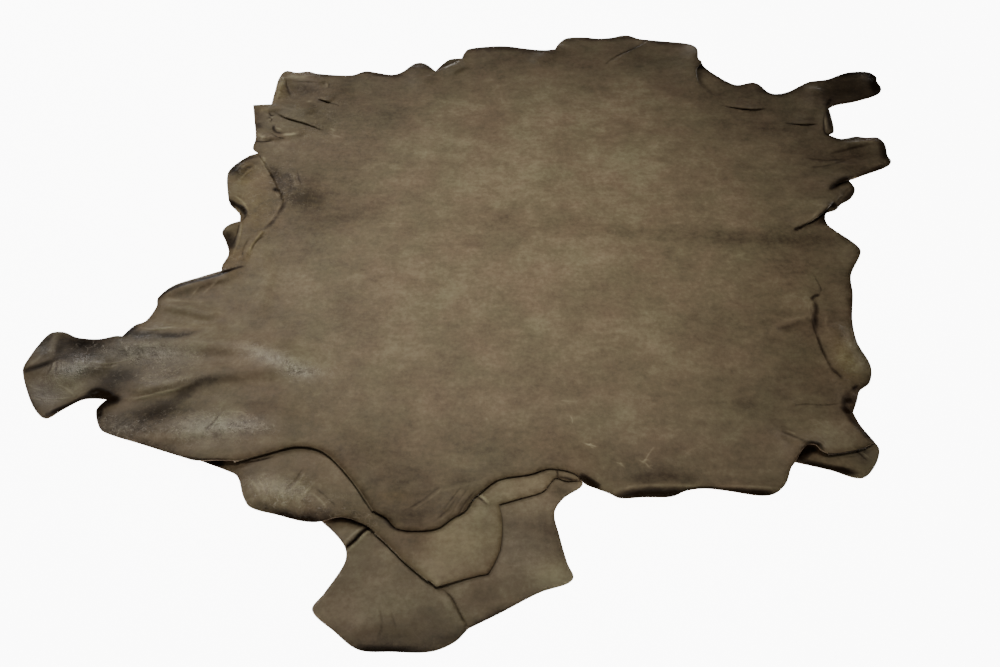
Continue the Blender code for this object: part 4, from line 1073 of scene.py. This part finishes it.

# %% [markdown]
# ## Tones of the skin
#
# Tanned skin is never one colour. The back line is darker, the belly and the flaps are lighter and
# yellower, the edges and the thin legs are darkest, and the wax shines where the leather was pulled.
# These patches are worked out for each point: how light, how yellow, how shiny, how cracked. Their light
# is partly the skin's own tone and partly painted shade and painted highlight, where folds, dips, legs
# and edges lie in shadow or catch the light, and a yellow below its middle greys the colour, mostly as
# painted sheen. Under a lip, a thin uneven line of painted shadow darkens the leather below it, and the
# covered parts of a lower layer get painted shade.

# %% Tones
# Patches by layer: x, y, half length, half width, turn in degrees, light, and then yellow, shine and
# wrinkles where they differ too. The light is partly the skin's own tone and partly painted shade and
# painted highlight; a yellow below 0 greys the colour, mostly as painted sheen.
PATCHES = {
    "main": [
        (-500, 350, 40, 120, 8, -0.02, 0.35, 0, 0.15), (-550, 465, 26, 30, 0, -0.08, 0.25, 0, 0.3),
        (-540, 420, 20, 14, 0, 0.04, 0.2, 0, 0.1), (-515, 200, 20, 40, 0, -0.03, 0.3, 0, 0.2),
        (-460, 750, 36, 28, 0, -0.13, 0, 0, 0.1), (-405, 368, 48, 34, -6, -0.15, 0.08, 0, 0.2),
        (-450, 425, 26, 46, 25, -0.06, -0.1, 0.1, 0.5), (-430, 650, 80, 120, 0, -0.03, 0, 0, 0.2),
        (-360, 745, 40, 30, -60, -0.06, 0.1), (-150, 850, 260, 60, 5, -0.05),
        (200, 905, 260, 60, -4, -0.05), (580, 690, 170, 150, -20, -0.1, 0, -0.1),
        (835, 765, 64, 56, 12, -0.26, -0.05, -0.3), (770, 735, 50, 40, 12, -0.12, 0, -0.2),
        (780, 510, 110, 80, 0, -0.12, 0, -0.2), (600, 60, 120, 330, 0, -0.03, 0, -0.2),
        (620, -60, 24, 50, 0, 0.09, 0.2, -0.3, 0.2), (300, -310, 200, 50, 0, -0.05),
        (-150, -330, 140, 90, 20, -0.05), (-170, -345, 26, 10, 0, 0.02, 0.3),
        (-755, -30, 50, 22, 3, -0.2, -0.1, -0.1, 0.2), (-824, -25, 16, 30, 0, -0.08, -0.3, 0, 0.1),
        (-757, -84, 34, 18, 0, 0.06, -0.3, 0.35, 0.8), (-795, -140, 36, 24, -20, 0.02, -0.3, 0.2, 0.3),
        (-674, -103, 32, 18, 0, -0.2, -0.15, 0, 0.1), (-655, -2, 34, 12, 4, -0.12, -0.15, 0, 0.1),
        (-590, -6, 34, 8, 10, -0.08, -0.2, 0, 0.1), (-640, -42, 80, 20, 0, 0.1, -0.3, 0.3, 0.7),
        (-600, -75, 60, 30, 0, -0.02, -0.15, 0.1, 0.5), (-530, -45, 24, 12, 0, -0.04),
        (-585, -184, 66, 22, 12, -0.18, -0.05, -0.1, 0.2), (-520, -112, 40, 15, 20, -0.08, -0.1),
        (-455, -92, 56, 14, 12, -0.05), (-635, -208, 50, 20, -12, 0.02, -0.25, 0.1, 0.8),
        (-495, -209, 64, 26, -2, 0.1, -0.25, 0.35, 0.9),
        (-425, -206, 36, 16, -6, 0.03, -0.2, 0.25, 0.7),
        (-405, -60, 60, 16, -24, 0.1, -0.25, 0.3, 0.8),
        (-350, -92, 30, 14, -10, 0.03, -0.2, 0.25, 0.7),
        (-600, -250, 120, 16, -14, -0.06, -0.1, 0, 0.2), (50, 860, 520, 90, 0, -0.04),
        (-330, 690, 130, 80, 0, -0.07), (-390, 400, 120, 110, 0, -0.04),
        (520, -20, 150, 280, 0, -0.04), (575, -120, 55, 50, 0, -0.06), (690, 390, 60, 44, 0, -0.06),
        (620, 255, 70, 40, 0, -0.05), (-745, -50, 80, 46, 0, -0.06, -0.1, 0, 0.2),
        (-690, -138, 26, 16, 0, -0.08), (-232, -262, 60, 40, 0, -0.08), (-95, -362, 80, 26, 20, -0.08),
        (570, 80, 40, 26, 0, 0.07), (565, -222, 44, 24, 0, 0.08), (878, 775, 12, 34, 0, -0.16),
        (640, 740, 40, 12, 0, -0.08), (-93, 748, 50, 36, 0, -0.06), (480, 840, 26, 40, 0, -0.06),
        (300, 620, 220, 46, 0, 0.04), (-60, 862, 40, 26, 0, 0.06), (-345, 305, 90, 36, 8, -0.07),
        (-484, 163, 36, 26, 0, -0.06, 0, 0, 0.1), (-740, -56, 36, 12, 0, -0.07),
        (-661, -132, 22, 12, 0, -0.08), (-407, -165, 50, 24, 0, -0.06), (-155, -180, 36, 60, 0, -0.05),
        (90, -255, 130, 28, 0, -0.05), (-65, -315, 30, 16, 0, -0.07), (285, -302, 40, 16, 0, -0.06),
        (418, -305, 50, 18, 0, 0.05), (-137, -386, 44, 14, 0, -0.07), (330, -130, 90, 60, 0, -0.03),
        (-600, -108, 34, 14, 0, 0.02, -0.1, 0.2, 0.5), (-330, 430, 100, 250, 0, -0.05),
        (-480, 455, 13, 34, 30, -0.15, 0, 0, 0.1), (-350, -240, 70, 10, -4, 0.07),
        (592, 68, 26, 30, 0, 0.05), (-838, -55, 14, 34, 0, 0.05), (-735, -122, 40, 14, 0, 0.05),
        (440, -255, 160, 50, 0, 0.03), (90, 430, 120, 90, 0, 0.04), (-40, 268, 30, 24, 0, 0.04),
        (490, 290, 100, 14, 0, 0.04), (600, 640, 50, 20, 0, 0.05), (-140, 128, 60, 24, 0, -0.05),
        (-415, 185, 30, 40, 0, -0.05), (-205, -110, 50, 40, 0, -0.04), (-660, -40, 30, 12, 0, -0.05),
        (-740, -60, 80, 50, 0, -0.03), (430, -165, 40, 20, 0, -0.05),
        (-508, 748, 18, 46, 0, 0.02, 0.3, 0, 0.1), (-540, 676, 18, 12, 0, 0.02, 0.35, 0, 0.1),
        (-762, -85, 30, 14, 0, 0.04, -0.1, 0.2, 0.3), (-470, -214, 42, 18, 0, -0.03),
        (-405, -196, 34, 20, 0, -0.045), (-604, -158, 30, 12, 0, -0.05),
        (-585, -90, 22, 12, 0, -0.035), (806, 758, 44, 14, 20, 0.05), (842, 522, 9, 26, 0, 0.06),
        (640, 60, 14, 44, 0, 0.06), (610, -258, 26, 16, 0, 0.04), (652, -82, 10, 26, 0, 0.05),
        (-5, 892, 70, 20, 0, 0.035), (160, 938, 30, 16, 0, 0.04), (330, 955, 44, 14, 0, 0.035),
        (474, 874, 14, 46, 0, -0.05), (0, 400, 120, 60, 0, 0.02), (-50, 712, 50, 30, 0, -0.03),
        (262, 250, 60, 16, 0, 0.02)],
    "middle": [
        (-60, -430, 80, 60, 0, 0.07, 0.15), (-360, -335, 60, 24, -10, 0.1, 0, 0.35, 0.7),
        (-250, -375, 70, 26, -10, -0.06, 0, 0, 0.3), (-150, -400, 40, 26, -40, -0.07),
        (40, -320, 50, 16, 16, 0.03, 0.1), (-300, -392, 44, 6, 0, -0.25),
        (-410, -300, 24, 14, 0, -0.1), (-105, -478, 44, 22, -40, 0.09), (-10, -350, 60, 34, 0, 0.04),
        (-128, -438, 20, 30, 0, -0.05), (-330, -388, 40, 8, -8, -0.06)],
    "lowest": [
        (-160, -600, 140, 30, 0, -0.1), (-250, -545, 50, 30, 0, 0.07),
        (85, -480, 30, 22, 0, 0.05, 0.1), (20, -430, 60, 50, 0, -0.03, -0.1),
        (0, -520, 60, 24, 20, -0.05), (95, -335, 20, 14, 0, -0.14), (100, -430, 14, 60, 0, -0.09),
        (-160, -606, 70, 9, 0, -0.1), (80, -415, 24, 30, 0, -0.08), (0, -547, 60, 10, 25, -0.08),
        (-60, -582, 30, 14, 0, -0.08), (-100, -545, 30, 26, 0, -0.05), (-160, -530, 160, 70, 0, 0.03),
        (40, -475, 60, 40, 0, 0.03), (-30, -510, 24, 18, 0, -0.07), (40, -405, 60, 24, 0, -0.05),
        (-262, -436, 12, 40, 0, -0.06)],
    "tongue": [
        (545, -284, 90, 26, -12, -0.04, 0.1), (600, -270, 20, 20, 0, -0.1, -0.1)]}
# The faint dark line of the back
BACK_LINE = ((-300, 300), (0, 305), (150, 290), (350, 258), (560, 245), (700, 250))
BACK_WIDTH, BACK_TONE = 22, 0.05
# Painted shadow: the thin dark line under a lip, on the layer below it: half width, tone, and how uneven it
# is
LIP_SHADOW_WIDTH, LIP_SHADOW_TONE, LIP_SHADOW_UNEVEN = 1.8, 0.13, 0.2
# Painted shade on the parts of a lower layer that lie under an upper one
COVERED_SHADE = 0.3
# Near its edges the leather is darker and duller, most of all on the right, where the thin strips are: the
# dark is partly the leather's own, partly painted shade
EDGE_TONE, STRIP_TONE, STRIPS_FROM, EDGE_DULL = 0.06, 0.1, 590, 0.4
# The folds are painted: nearly plain on the front edge, and dark at the right leg, which is painted shade
FRONT_FOLD_TONE, LEG_FOLD_SHADE, LEG_FROM = 0.48, 0.18, 400


def tones_of(sheet):
    """Light, yellow, shine and wrinkles of each point; the first three are 0.5 on plain leather."""
    spots = np.array(sheet.flat)
    layers = np.array(sheet.layers)
    tone = np.full((len(spots), 4), 0.5)
    tone[:, 3] = 0.04
    # Patches: the skin's own tone, plus painted shade and painted highlight on folds, dips, legs and edges
    for layer, rows in PATCHES.items():
        for x, y, long, wide, turn, *change in rows:
            u, v = turned(spots, x, y, turn)
            patch = np.exp(-(u / long) ** 2 - (v / wide) ** 2) * (layers == layer)
            tone[:, :len(change)] += patch[:, None] * np.array(change)
    # Painted shade along creases, gaps and lifted edges, and painted highlight on crests; a few light rows
    # are real scratches
    for layer, rows in CREASES.items():
        for crease in rows:
            tone[:, 0] += crease[2] * crease_at(spots, crease) * (layers == layer)
    back = np.exp(-(near(spots, BACK_LINE)[0] / BACK_WIDTH) ** 2)
    tone[:, 0] -= BACK_TONE * back * (layers == "main") * np.clip((spots[:, 0] + 260) / 400, 0, 1)
    for upper, own, lower, share in ((main, "main", ("middle", "lowest", "tongue"), 1.0),
                                     (middle_line, "middle", ("lowest",), 0.5)):
        edge = gaps_to(upper, spots)
        # Painted shadow: a thin uneven dark line on the lower layer beside the lip above it
        uneven = share * (LIP_SHADOW_TONE + LIP_SHADOW_UNEVEN * waves(spots[:, 0] / 25, spots[:, 1] / 25, 12.7))
        beside = uneven * np.exp(-(edge / LIP_SHADOW_WIDTH) ** 1.5)
        # Painted shade where a lower layer lies covered, and the painted shadow line beside the lip
        tone[:, 0] -= np.isin(layers, lower) * np.where(inside(spots, upper), COVERED_SHADE, beside)
        on_it = layers == own
        # Darker near the edge: partly the edge's own tone, partly painted shade
        tone[:, 0] -= (EDGE_TONE + STRIP_TONE * (spots[:, 0] > STRIPS_FROM)) * np.exp(-edge / 7) * on_it
        tone[:, 2] -= EDGE_DULL * np.exp(-edge / 6) * on_it
    # Painted shade on the fold at the right leg; the front fold stays near plain
    folds = layers == "fold"
    tone[folds, 0] = np.where(spots[folds, 0] > LEG_FROM, LEG_FOLD_SHADE, FRONT_FOLD_TONE)
    return np.clip(tone, 0, 1)


# %% [markdown]
# ## Nodes in short
#
# A finish is a small network of nodes. These helpers add one node each and give back its output, so that
# the finishes further down read like sums.

# %% Nodes
def add_node(tree, kind, settings=None, **links):
    """A node with its settings; each link gives an input's value or the socket that feeds it."""
    node = tree.nodes.new(kind)
    for key, value in (settings or {}).items():
        setattr(node, key, value)
    for key, value in links.items():
        by_number = key[0] == "i" and key[1:].isdigit()
        feed(tree, node.inputs[int(key[1:]) if by_number else key.replace("_", " ")], value)
    return node


def feed(tree, socket, value):
    """Links the value to the socket if it is an output, and otherwise sets it."""
    if isinstance(value, bpy.types.NodeSocket):
        tree.links.new(value, socket)
    else:
        socket.default_value = value


class Paint:
    """Short names for the nodes of one material."""

    def __init__(self, material):
        material.use_nodes = True
        self.tree = material.node_tree
        self.shader = self.tree.nodes["Principled BSDF"]
        self.place = add_node(self.tree, "ShaderNodeTexCoord").outputs["Object"]

    def attribute(self, name):
        return add_node(self.tree, "ShaderNodeAttribute", {"attribute_name": name})

    def maths(self, kind, a, b=0.0, c=0.0):
        return add_node(self.tree, "ShaderNodeMath", {"operation": kind}, i0=a, i1=b, i2=c).outputs[0]

    def times(self, a, b):
        return self.maths("MULTIPLY", a, b)

    def plus_times(self, start, a, b):
        """The start with a times b added."""
        return self.maths("MULTIPLY_ADD", a, b, start)

    def steep(self, value, slope, start):
        """The value times the slope, with the start added, kept between 0 and 1."""
        return self.maths("MINIMUM", self.maths("MAXIMUM", self.plus_times(start, value, slope), 0.0), 1.0)

    def clouds(self, scale, detail, rough, stretch=(1, 1, 1)):
        """Soft noise; it is set off from the middle of the skin, where the pattern has a star."""
        spread = add_node(self.tree, "ShaderNodeMapping",
                          Vector=self.place, Location=(7.3, 4.1, 2.9), Scale=stretch)
        return add_node(self.tree, "ShaderNodeTexNoise", Vector=spread.outputs[0], Scale=scale, Detail=detail,
                        Roughness=rough).outputs["Fac"]

    def blend(self, kind, factor, a, b):
        """Two colours mixed by a factor."""
        node = add_node(self.tree, "ShaderNodeMix", {"data_type": "RGBA", "blend_type": kind},
                        i0=factor, i6=a, i7=b)
        return node.outputs[2]


# %% [markdown]
# ## The leather
#
# Oil-tanned leather with a waxy finish: a brown base, clouds and fine streaks where the dye took
# unevenly, a pebbled grain of about a millimetre, and a soft shine that breaks up on the grain. Where the
# skin was stretched, the wax creases in a fine net with a pale painted sheen on its crests, and the
# rumples there get painted light and shade. The flesh side is paler and dull.

# %% Colours of the leather
# Shades from the darkest to the lightest, each with its place on the scale of lightness
SHADES = ((0.0, "#1a130c"), (1.0, "#989178"), (0.25, "#362c20"), (0.5, "#5e5341"))
# Clouds in the dye: scale (the higher, the smaller), detail, roughness, stretch, strength
DYE = ((8, 3, 0.5, (1, 1, 1), 0.34), (36, 3, 0.6, (1, 1, 1), 0.27), (130, 3, 0.65, (1, 1, 1), 0.26),
       (45, 2, 0.5, (0.5, 1.6, 1), 0.12))
# The net's crests add painted highlight, and the rumples painted light and shade, to the lightness
CREST, RUMPLE = 0.25, 1.2           # how much the net and the rumples change the lightness
RED_TINT, GREEN_TINT, GOLD_TINT = (1.04, 0.975, 0.98, 1), (0.96, 1.02, 0.96, 1), (1.08, 1.0, 0.72, 1)
# Pale grey of the painted sheen on the crests of the net
PAINTED_SHEEN = "#a0988c"
FLESH_DARK, FLESH_PALE = "#41352a", "#6b5c4c"


def crack_net(paint):
    """Crests of a fine uneven net, here strong and there weak."""
    bend = add_node(paint.tree, "ShaderNodeTexNoise", Vector=paint.place, Scale=70.0, Detail=4.0)
    bent = add_node(paint.tree, "ShaderNodeVectorMath", {"operation": "MULTIPLY_ADD"},
                    i0=bend.outputs["Color"], i1=(0.024, 0.024, 0.024), i2=paint.place)
    net = add_node(paint.tree, "ShaderNodeTexVoronoi", {"feature": "DISTANCE_TO_EDGE"},
                   Vector=bent.outputs[0], Scale=130.0)
    here = paint.steep(paint.clouds(48, 5, 0.75), 6.0, -2.7)
    return paint.times(paint.steep(net.outputs[0], -8.0, 1.0), here)


def grain_colour(paint, light, yellow, wrinkles, crests, rumple):
    """Colour of the grain side, from the tones of the skin."""
    middle = sum(row[-1] for row in DYE) / 2
    amount = paint.plus_times(-0.25 - middle, light, 1.5)
    # Painted highlight on the crests of the net and painted light and shade on the rumples, where there are
    # wrinkles
    amount = paint.plus_times(amount, paint.times(crests, wrinkles), CREST)
    amount = paint.plus_times(amount, paint.times(paint.maths("SUBTRACT", rumple, 0.5), wrinkles), RUMPLE)
    for scale, detail, rough, stretch, strength in DYE:
        amount = paint.plus_times(amount, paint.clouds(scale, detail, rough, stretch), strength)
    ramp = add_node(paint.tree, "ShaderNodeValToRGB", i0=amount)
    stops = ramp.color_ramp.elements
    for i, (position, shade) in enumerate(SHADES):
        stop = stops[i] if i < 2 else stops.new(position)
        stop.position, stop.color = position, linear(shade)
    tint = paint.blend("MIX", paint.plus_times(-0.9, paint.clouds(10, 3, 0.6), 2.8), RED_TINT, GREEN_TINT)
    tinted = paint.blend("MULTIPLY", 1.0, ramp.outputs["Color"], tint)
    golden = paint.blend("MULTIPLY", paint.plus_times(-1.0, yellow, 2.0), tinted, GOLD_TINT)
    # Below a yellow of 0.5 the colour is greyed, mostly as painted sheen: the grey that a shine would give
    greyer = paint.maths("MINIMUM", paint.plus_times(0.4, yellow, 1.2), 1.0)
    sheen_greyed = add_node(paint.tree, "ShaderNodeHueSaturation", Saturation=greyer, Color=golden).outputs[0]
    # Painted sheen: the net's crests are painted pale where the wrinkles are
    broken = paint.steep(paint.clouds(170, 2, 0.6), 7.0, -3.1)
    painted_sheen = paint.times(paint.times(crests, broken), wrinkles)
    return paint.blend("MIX", paint.times(painted_sheen, 1.1), sheen_greyed, linear(PAINTED_SHEEN))


# %% [markdown]
# The surface has three sizes of relief: the pebbled grain, the net, and rumples a finger wide. Shine
# lowers the roughness and raises the reflection; dark places reflect less. The flesh side is always dull.

# %% Leather material
PEBBLES = 620.0         # per metre
IOR = 1.47
WARM_SHINE = (1.0, 0.93, 0.84, 1)


def leather_material():
    mat = bpy.data.materials.new("waxed_leather")
    paint = Paint(mat)
    skin = paint.attribute("skin")
    flesh = paint.attribute("flesh").outputs["Fac"]
    light, yellow, shine = add_node(paint.tree, "ShaderNodeSeparateColor", i0=skin.outputs["Color"]).outputs
    wrinkles = skin.outputs["Alpha"]
    crests = crack_net(paint)
    rumple = paint.clouds(75, 5, 0.65)
    grain_side = grain_colour(paint, light, yellow, wrinkles, crests, rumple)
    back_side = paint.blend("MIX", paint.maths("SUBTRACT", flesh, 0.5),
                            linear(FLESH_DARK), linear(FLESH_PALE))
    colour = paint.blend("MIX", paint.maths("GREATER_THAN", flesh, 0.3), grain_side, back_side)

    pebble = add_node(paint.tree, "ShaderNodeTexVoronoi", {"feature": "SMOOTH_F1"},
                      Vector=paint.place, Scale=PEBBLES)
    height = paint.maths("ADD", paint.times(crests, paint.times(wrinkles, 0.6)),
                         paint.times(rumple, paint.plus_times(0.15, wrinkles, 2.4)))
    fine = add_node(paint.tree, "ShaderNodeBump", Strength=0.3, Distance=0.0004, Height=pebble.outputs[0])
    coarse = add_node(paint.tree, "ShaderNodeBump", Strength=0.8, Distance=0.0020, Height=height,
                      Normal=fine.outputs[0])
    waxed = paint.plus_times(paint.plus_times(0.74, shine, -0.6), rumple, 0.3)
    rough = paint.maths("MAXIMUM", waxed, paint.times(flesh, 0.85))
    gloss = paint.times(paint.maths("MINIMUM", light, 0.5), paint.plus_times(0.1, shine, 1.2))
    for name, value in (("Base Color", colour), ("Roughness", rough), ("Normal", coarse.outputs[0]),
                        ("Specular IOR Level", gloss), ("IOR", IOR), ("Specular Tint", WARM_SHINE)):
        feed(paint.tree, paint.shader.inputs[name], value)
    return mat


# %% [markdown]
# ## The finished piece
#
# The hide is one mesh at the origin, unturned. It stands for the solid, rides on its body and lies on the
# floor. Its flat size, in metres, is that of the whole skin, hidden parts included.

# %% The finished piece
body = sheet.solid(tones_of(sheet))
bmesh.ops.translate(body, verts=body.verts[:], vec=to_frame(0, 0))
mesh = bpy.data.meshes.new("leather_hide")
body.to_mesh(mesh)
body.free()
mesh.materials.append(leather_material())
hide = bpy.data.objects.new("leather_hide", mesh)
bpy.context.scene.collection.objects.link(hide)
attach(hide, "root")
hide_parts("hide")
print("triangles:", sum(len(p.vertices) - 2 for p in mesh.polygons))
